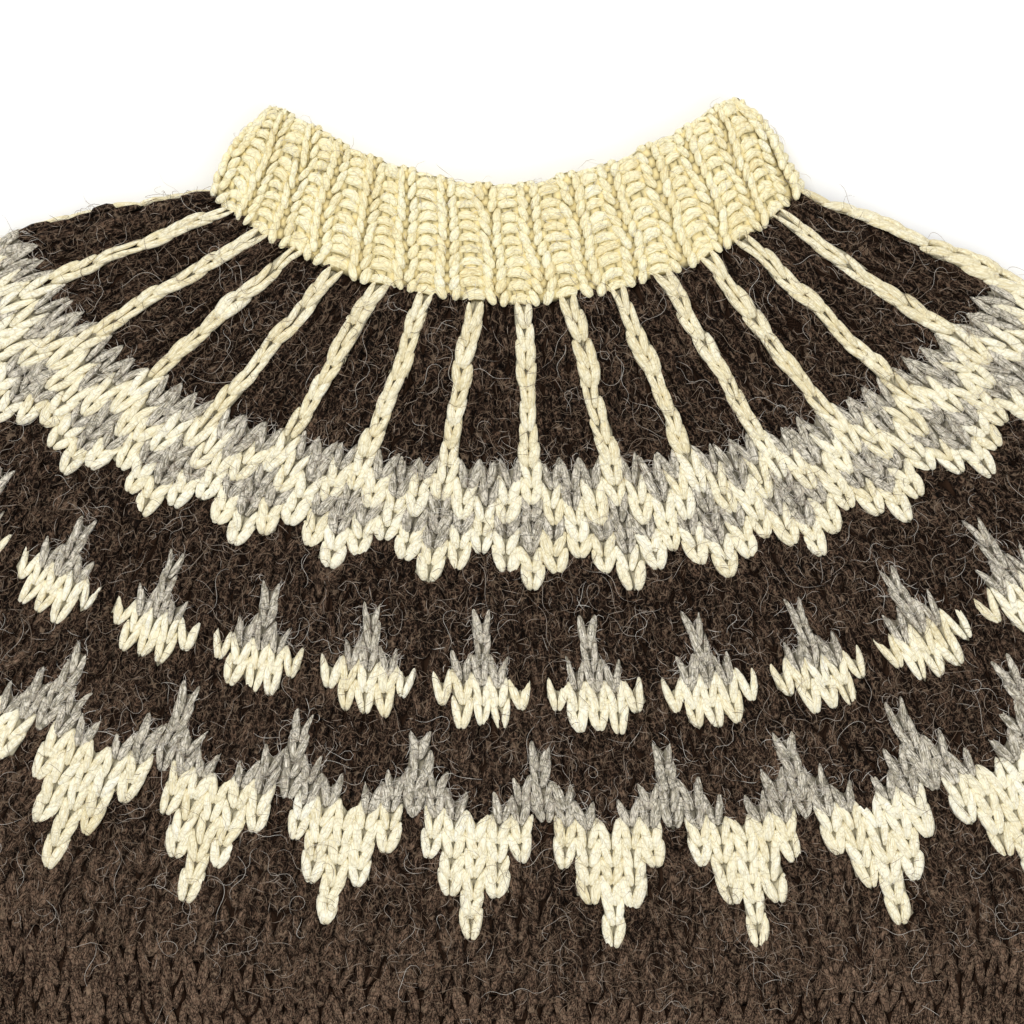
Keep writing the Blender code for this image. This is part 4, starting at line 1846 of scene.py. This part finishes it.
@dataclass
class Sleeve(Knitting):
    """A sleeve, knitted on from the yoke and grafted under the arm."""

    lay: SleeveLay = LEFT
    rows: float = 72.0
    wales: float = SLEEVE_STITCHES
    flat: tuple[float, float] = (0.336, 0.43)
    area: float | None = 0.122

    def top(self, u: Array) -> Array:
        """The first seam, from the upper fold: the yoke's last course, then the underarm.

        Args:
            u: Round the tube, 0 to 1 over the front.

        Returns:
            Points on the table, in metres.
        """
        u = np.asarray(u, dtype=float)
        share = 1 - UNDERARM_STITCHES / SLEEVE_STITCHES
        corner = sleeve_corner(self.lay.side)
        fold = 0.0 if self.lay.side < 0 else 1.0
        knit_on = join(fold + (corner - fold) * np.minimum(u / share, 1))
        below = np.maximum((u - share) / (1 - share), 0)
        grafted = blend(join(np.array(corner)), underarm(self.lay.side), below)
        return np.where((u < share)[..., None], knit_on, grafted)

    def plan(self, u: Array, v: Array) -> Array:
        """Courses that start as the first seam and straighten to the cuff.

        Args:
            u: Round the tube, 0 to 1 over the front.
            v: Along the knitting, 0 at its first course.

        Returns:
            Points on the table, in metres.
        """
        u, v = np.broadcast_arrays(np.asarray(u, dtype=float), np.asarray(v, dtype=float))
        shoulder, armpit = self.top(np.array(0.0)), underarm(self.lay.side)
        upper_end, lower_end = cuff_line(self.lay, CUFF_TOP_HALF_WIDTH, np.array(0.0))
        start = slope_vector(self.lay.side, self.lay.start_slope)
        finish = slope_vector(self.lay.side, self.lay.cuff_slope)
        upper_length = np.linalg.norm(upper_end - shoulder)
        lower_length = np.linalg.norm(lower_end - armpit)
        upper = hermite(shoulder, start * upper_length, upper_end, finish * upper_length, v)
        lower = hermite(armpit, start * lower_length, lower_end, finish * lower_length, v)
        bow = self.top(u) - blend(shoulder, armpit, u)
        fade = np.maximum(0.0, 1 - v / SLEEVE_FADE)[..., None] ** 2
        return blend(upper, lower, u) + bow * fade

    def dress(self, ground: bpy.types.Material, wools: Materials, rng: np.random.Generator) -> None:
        """Builds the sleeve's cloth and its stitches.

        Args:
            ground: The cloth's material.
            wools: The material of each wool.
            rng: For the unevenness of hand knitting.
        """
        cloth = self.cloth(ground)
        stitches = self.plain_stitches(-0.3, SLEEVE_NARROWING)
        bundle = BODY_LEG.build(self, stitches, FAR, rng, 1.4)
        on_it = strands(f"{self.name}_stitches", bundle, wools[Wool.DARK], self.slot)


@dataclass
class HemRib(Knitting):
    """The rib at the hem, which draws the body in."""

    name: str = "hem_rib"
    turned_edge: bool = True
    rows: float = 11.0
    wales: float = 2 * HEM_RIBS
    flat: tuple[float, float] = (0.88, 0.055)

    def plan(self, u: Array, v: Array) -> Array:
        """Straight across, drawing in from the body's width and opening a little at its edge.

        Args:
            u: Round the tube, 0 to 1 over the front.
            v: Along the knitting, 0 at its first course.

        Returns:
            Points on the table, in metres.
        """
        u, v = np.broadcast_arrays(np.asarray(u, dtype=float), np.asarray(v, dtype=float))
        wide, narrow = (hem_line(half, v * HEM_DEPTH) for half in (BODY_HALF_WIDTH, HEM_HALF_WIDTH))
        pull = 1 - (1 - v) ** 3 - 0.12 * v**2
        return blend(blend(wide[0], narrow[0], pull), blend(wide[1], narrow[1], pull), u)

    def dress(self, ground: bpy.types.Material, wools: Materials, rng: np.random.Generator) -> None:
        """Builds the hem's cloth and its ribs.

        Args:
            ground: The cloth's material.
            wools: The material of each wool.
            rng: For the unevenness of hand knitting.
        """
        cloth = self.cloth(ground)
        bundle = self.ribbing(HEM_RIBS, 0.5, False, rng)
        ribs = strands("hem_rib_stitches", bundle, wools[Wool.DARK], self.slot)


@dataclass
class Cuff(Knitting):
    """The rib at a wrist."""

    lay: SleeveLay = LEFT
    turned_edge: bool = True
    rows: float = 11.0
    wales: float = 2 * CUFF_RIBS
    flat: tuple[float, float] = (0.22, 0.055)

    def plan(self, u: Array, v: Array) -> Array:
        """Straight across the sleeve, drawing in from its width.

        Args:
            u: Round the tube, 0 to 1 over the front.
            v: Along the knitting, 0 at its first course.

        Returns:
            Points on the table, in metres.
        """
        u, v = np.broadcast_arrays(np.asarray(u, dtype=float), np.asarray(v, dtype=float))
        halves = (CUFF_TOP_HALF_WIDTH, CUFF_HALF_WIDTH)
        wide, narrow = (cuff_line(self.lay, half, v * CUFF_DEPTH) for half in halves)
        pull = 1 - (1 - v) ** 3 - 0.1 * v**2
        return blend(blend(wide[0], narrow[0], pull), blend(wide[1], narrow[1], pull), u)

    def dress(self, ground: bpy.types.Material, wools: Materials, rng: np.random.Generator) -> None:
        """Builds the cuff's cloth and its ribs.

        Args:
            ground: The cloth's material.
            wools: The material of each wool.
            rng: For the unevenness of hand knitting.
        """
        cloth = self.cloth(ground)
        bundle = self.ribbing(CUFF_RIBS, 0.5, False, rng)
        ribs = strands(f"{self.name}_stitches", bundle, wools[Wool.DARK], self.slot)


@dataclass(frozen=True)
class Halo:
    """The mist of loose hairs over the front, most over the dark wool and least over the cream.

    Attributes:
        curled: Long curled hairs, which show one by one.
        short: Short brown hairs of the dark wool, which hide its stitches.
        wisps: Short pale hairs of the grey wool, which blur the edges of the motifs.
        far: Hairs on the body and the sleeves.
    """

    curled: Hairs = Hairs(6 * MM, 24 * MM, 0.14 * MM, 2.2 * MM, 460.0, 14)
    short: Hairs = Hairs(3 * MM, 8 * MM, 0.18 * MM, 1.5 * MM, 800.0, 5)
    wisps: Hairs = Hairs(2.5 * MM, 7 * MM, 0.17 * MM, 1.5 * MM, 800.0, 5)
    far: Hairs = Hairs(6 * MM, 16 * MM, 0.16 * MM, 2.2 * MM, 400.0, 6)

    def over_yoke(self, yoke: Yoke, rng: np.random.Generator) -> dict[str, Bundle]:
        """Hairs over the yoke, in three sets.

        Args:
            yoke: The yoke.
            rng: For their places and tones.

        Returns:
            Long curled hairs that thin out over the cream stitches, short brown ones on the dark
            wool, and pale wisps on the grey wool.
        """
        u, v = scattered(yoke, 2000, rng)
        on = yoke.wool_of(np.clip(u, 0, 1), v * YOKE_COURSES)
        cream = on == Wool.CREAM.value
        kept = rng.uniform(size=len(u)) < np.where(cream, 0.25, 1.0)
        u, v, cream = u[kept], v[kept], cream[kept]
        brown, pale = rng.uniform(0.25, 0.55, len(u)), rng.uniform(0.55, 0.95, len(u))
        shade = np.where(cream | (rng.uniform(size=len(u)) < 0.5), brown, pale)
        sets = {"curled": self.curled.build(yoke, u, v, shade, rng)}

        u, v = scattered(yoke, 12500, rng)
        on = yoke.wool_of(np.clip(u, 0, 1), v * YOKE_COURSES)
        dark = on == Wool.DARK.value
        shade = rng.uniform(0.1, 0.62, dark.sum())
        sets["short"] = self.short.build(yoke, u[dark], v[dark], shade, rng)

        u, v = scattered(yoke, 36000, rng)
        grey = yoke.wool_of(np.clip(u, 0, 1), v * YOKE_COURSES) == Wool.GREY.value
        shade = rng.uniform(0.6, 1.0, grey.sum())
        sets["wisps"] = self.wisps.build(yoke, u[grey], v[grey], shade, rng)
        return sets

    def over(
        self,
        tube: Knitting,
        hairs: Hairs,
        count: int,
        tones: tuple[float, float],
        rng: np.random.Generator,
    ) -> Bundle:
        """Hairs over a plain piece, with tones between the two given."""
        u, v = scattered(tube, count, rng)
        return hairs.build(tube, u, v, rng.uniform(*tones, len(u)), rng)


@dataclass(frozen=True)
class Studio:
    """A pale floor, soft light from above and a camera that looks straight down.

    Attributes:
        centre: Where the photograph's middle is, on the table, in millimetres.
        frame_width: What the photograph shows across, in metres.
        camera_height: The lens above the cloth, in metres.
        sensor: The camera's sensor width, in millimetres.
    """

    centre: tuple[float, float] = (0.0, 0.0)
    frame_width: float = 0.3072
    camera_height: float = 0.9
    sensor: float = 36.0

    def floor(self) -> None:
        """A pale matt floor under the sweater."""
        half = 4.0
        corners = np.array([[-half, -half, 0], [half, -half, 0], [half, half, 0], [-half, half, 0]])
        corners[:, 2] = -0.3 * MM
        made = mesh_object("floor", corners, np.array([[0, 1, 2, 3]]), np.zeros((0, 3), int))
        paper = bpy.data.materials.new("white_paper_sweep")
        paper.use_nodes = True
        shader = paper.node_tree.nodes["Principled BSDF"]
        shader.inputs["Base Color"].default_value = colour("f7f7f7")
        shader.inputs["Roughness"].default_value = 0.9
        shader.inputs["Specular IOR Level"].default_value = 0.1
        made.data.materials.append(paper)

    def lamp(self, name: str, place: tuple[float, float, float], size: float, power: float) -> None:
        """A square soft box that faces the sweater.

        Args:
            name: The lamp's name.
            place: Where it is, in metres.
            size: Its side's length, in metres.
            power: In watts.
        """
        light = bpy.data.lights.new(name, "AREA")
        light.shape = "SQUARE"
        light.size = size
        light.energy = power
        made = bpy.data.objects.new(name, light)
        made.location = place
        towards = -made.location
        made.rotation_euler = towards.to_track_quat("-Z", "Y").to_euler()
        bpy.context.scene.collection.objects.link(made)

    def light(self) -> None:
        """Two soft boxes and an even white surround."""
        self.lamp("soft_box_key", (-0.7, 1.3, 2.2), 1.5, 32.0)
        self.lamp("soft_box_fill", (1.2, -0.9, 2.3), 2.2, 18.0)
        world = bpy.data.worlds.new("white_room")
        world.use_nodes = True
        world.node_tree.nodes["Background"].inputs["Color"].default_value = colour("ffffff")
        world.node_tree.nodes["Background"].inputs["Strength"].default_value = 0.7
        bpy.context.scene.world = world
        bpy.context.scene.view_settings.view_transform = "Standard"

    def camera(self, origin: Array) -> None:
        """A camera over the photograph's middle, looking straight down with the collar up.

        Args:
            origin: The place on the table that is the frame's origin.
        """
        data = bpy.data.cameras.new("camera")
        data.sensor_width = self.sensor
        data.lens = self.sensor * self.camera_height / self.frame_width
        made = bpy.data.objects.new("camera", data)
        x, y = point(*self.centre) - origin
        made.location = (x, y, self.camera_height + 2 * WALL + LAP)
        bpy.context.scene.collection.objects.link(made)
        bpy.context.scene.camera = made


def find_origin() -> Array:
    """Where the frame's origin lies on the table, from the hem's and a cuff's CAD boxes.

    Returns:
        The place on the table that is the frame's origin.
    """
    nowhere = np.zeros(2)
    u, v = np.linspace(0, 1, 41), np.ones(41)
    cuff = Cuff("cuff_right", nowhere, lay=RIGHT)
    hem = HemRib(origin=nowhere)
    right = cuff.plan(np.tile(u, 41), np.repeat(u, 41))[:, 0].max()
    low = hem.plan(u, v)[:, 1].min()
    return np.array([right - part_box("cuff_right")[1].x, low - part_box("hem_rib")[0].y])


def main() -> None:
    """Builds and dresses every piece, then sets the studio."""
    logging.basicConfig(level=logging.INFO, format="%(message)s")
    rng = np.random.default_rng(SEED)
    origin = find_origin()
    ground = KnittedGround().material()
    wools = {wool: finish.material() for wool, finish in WOOLS.items()}
    collar_wools = {Wool.CREAM: COLLAR_WOOL.material()}
    collar, yoke, body, hem = (kind(origin=origin) for kind in (Collar, Yoke, Body, HemRib))
    sleeves = [Sleeve(f"sleeve_{lay.name}", origin, lay=lay) for lay in (LEFT, RIGHT)]
    cuffs = [Cuff(f"cuff_{lay.name}", origin, lay=lay) for lay in (LEFT, RIGHT)]
    for piece in (collar, yoke, body, hem, *sleeves, *cuffs):
        piece.dress(ground, collar_wools if piece is collar else wools, rng)
    halo, hairs = Halo(), LooseFibres().material()
    for name, bundle in halo.over_yoke(yoke, rng).items():
        strands(f"halo_yoke_{name}", bundle, hairs, "patterned_wool")
    strands("halo_collar", halo.over(collar, halo.short, 200, (0.6, 1.0), rng), hairs, "cream_wool")
    for piece, count in ((body, 1100), (sleeves[0], 400), (sleeves[1], 400)):
        bundle = halo.over(piece, halo.far, count, (0.15, 0.9), rng)
        strands(f"halo_{piece.name}", bundle, hairs, "dark_wool")
    studio = Studio()
    studio.floor()
    studio.light()
    studio.camera(origin)


if __name__ == "__main__":
    main()
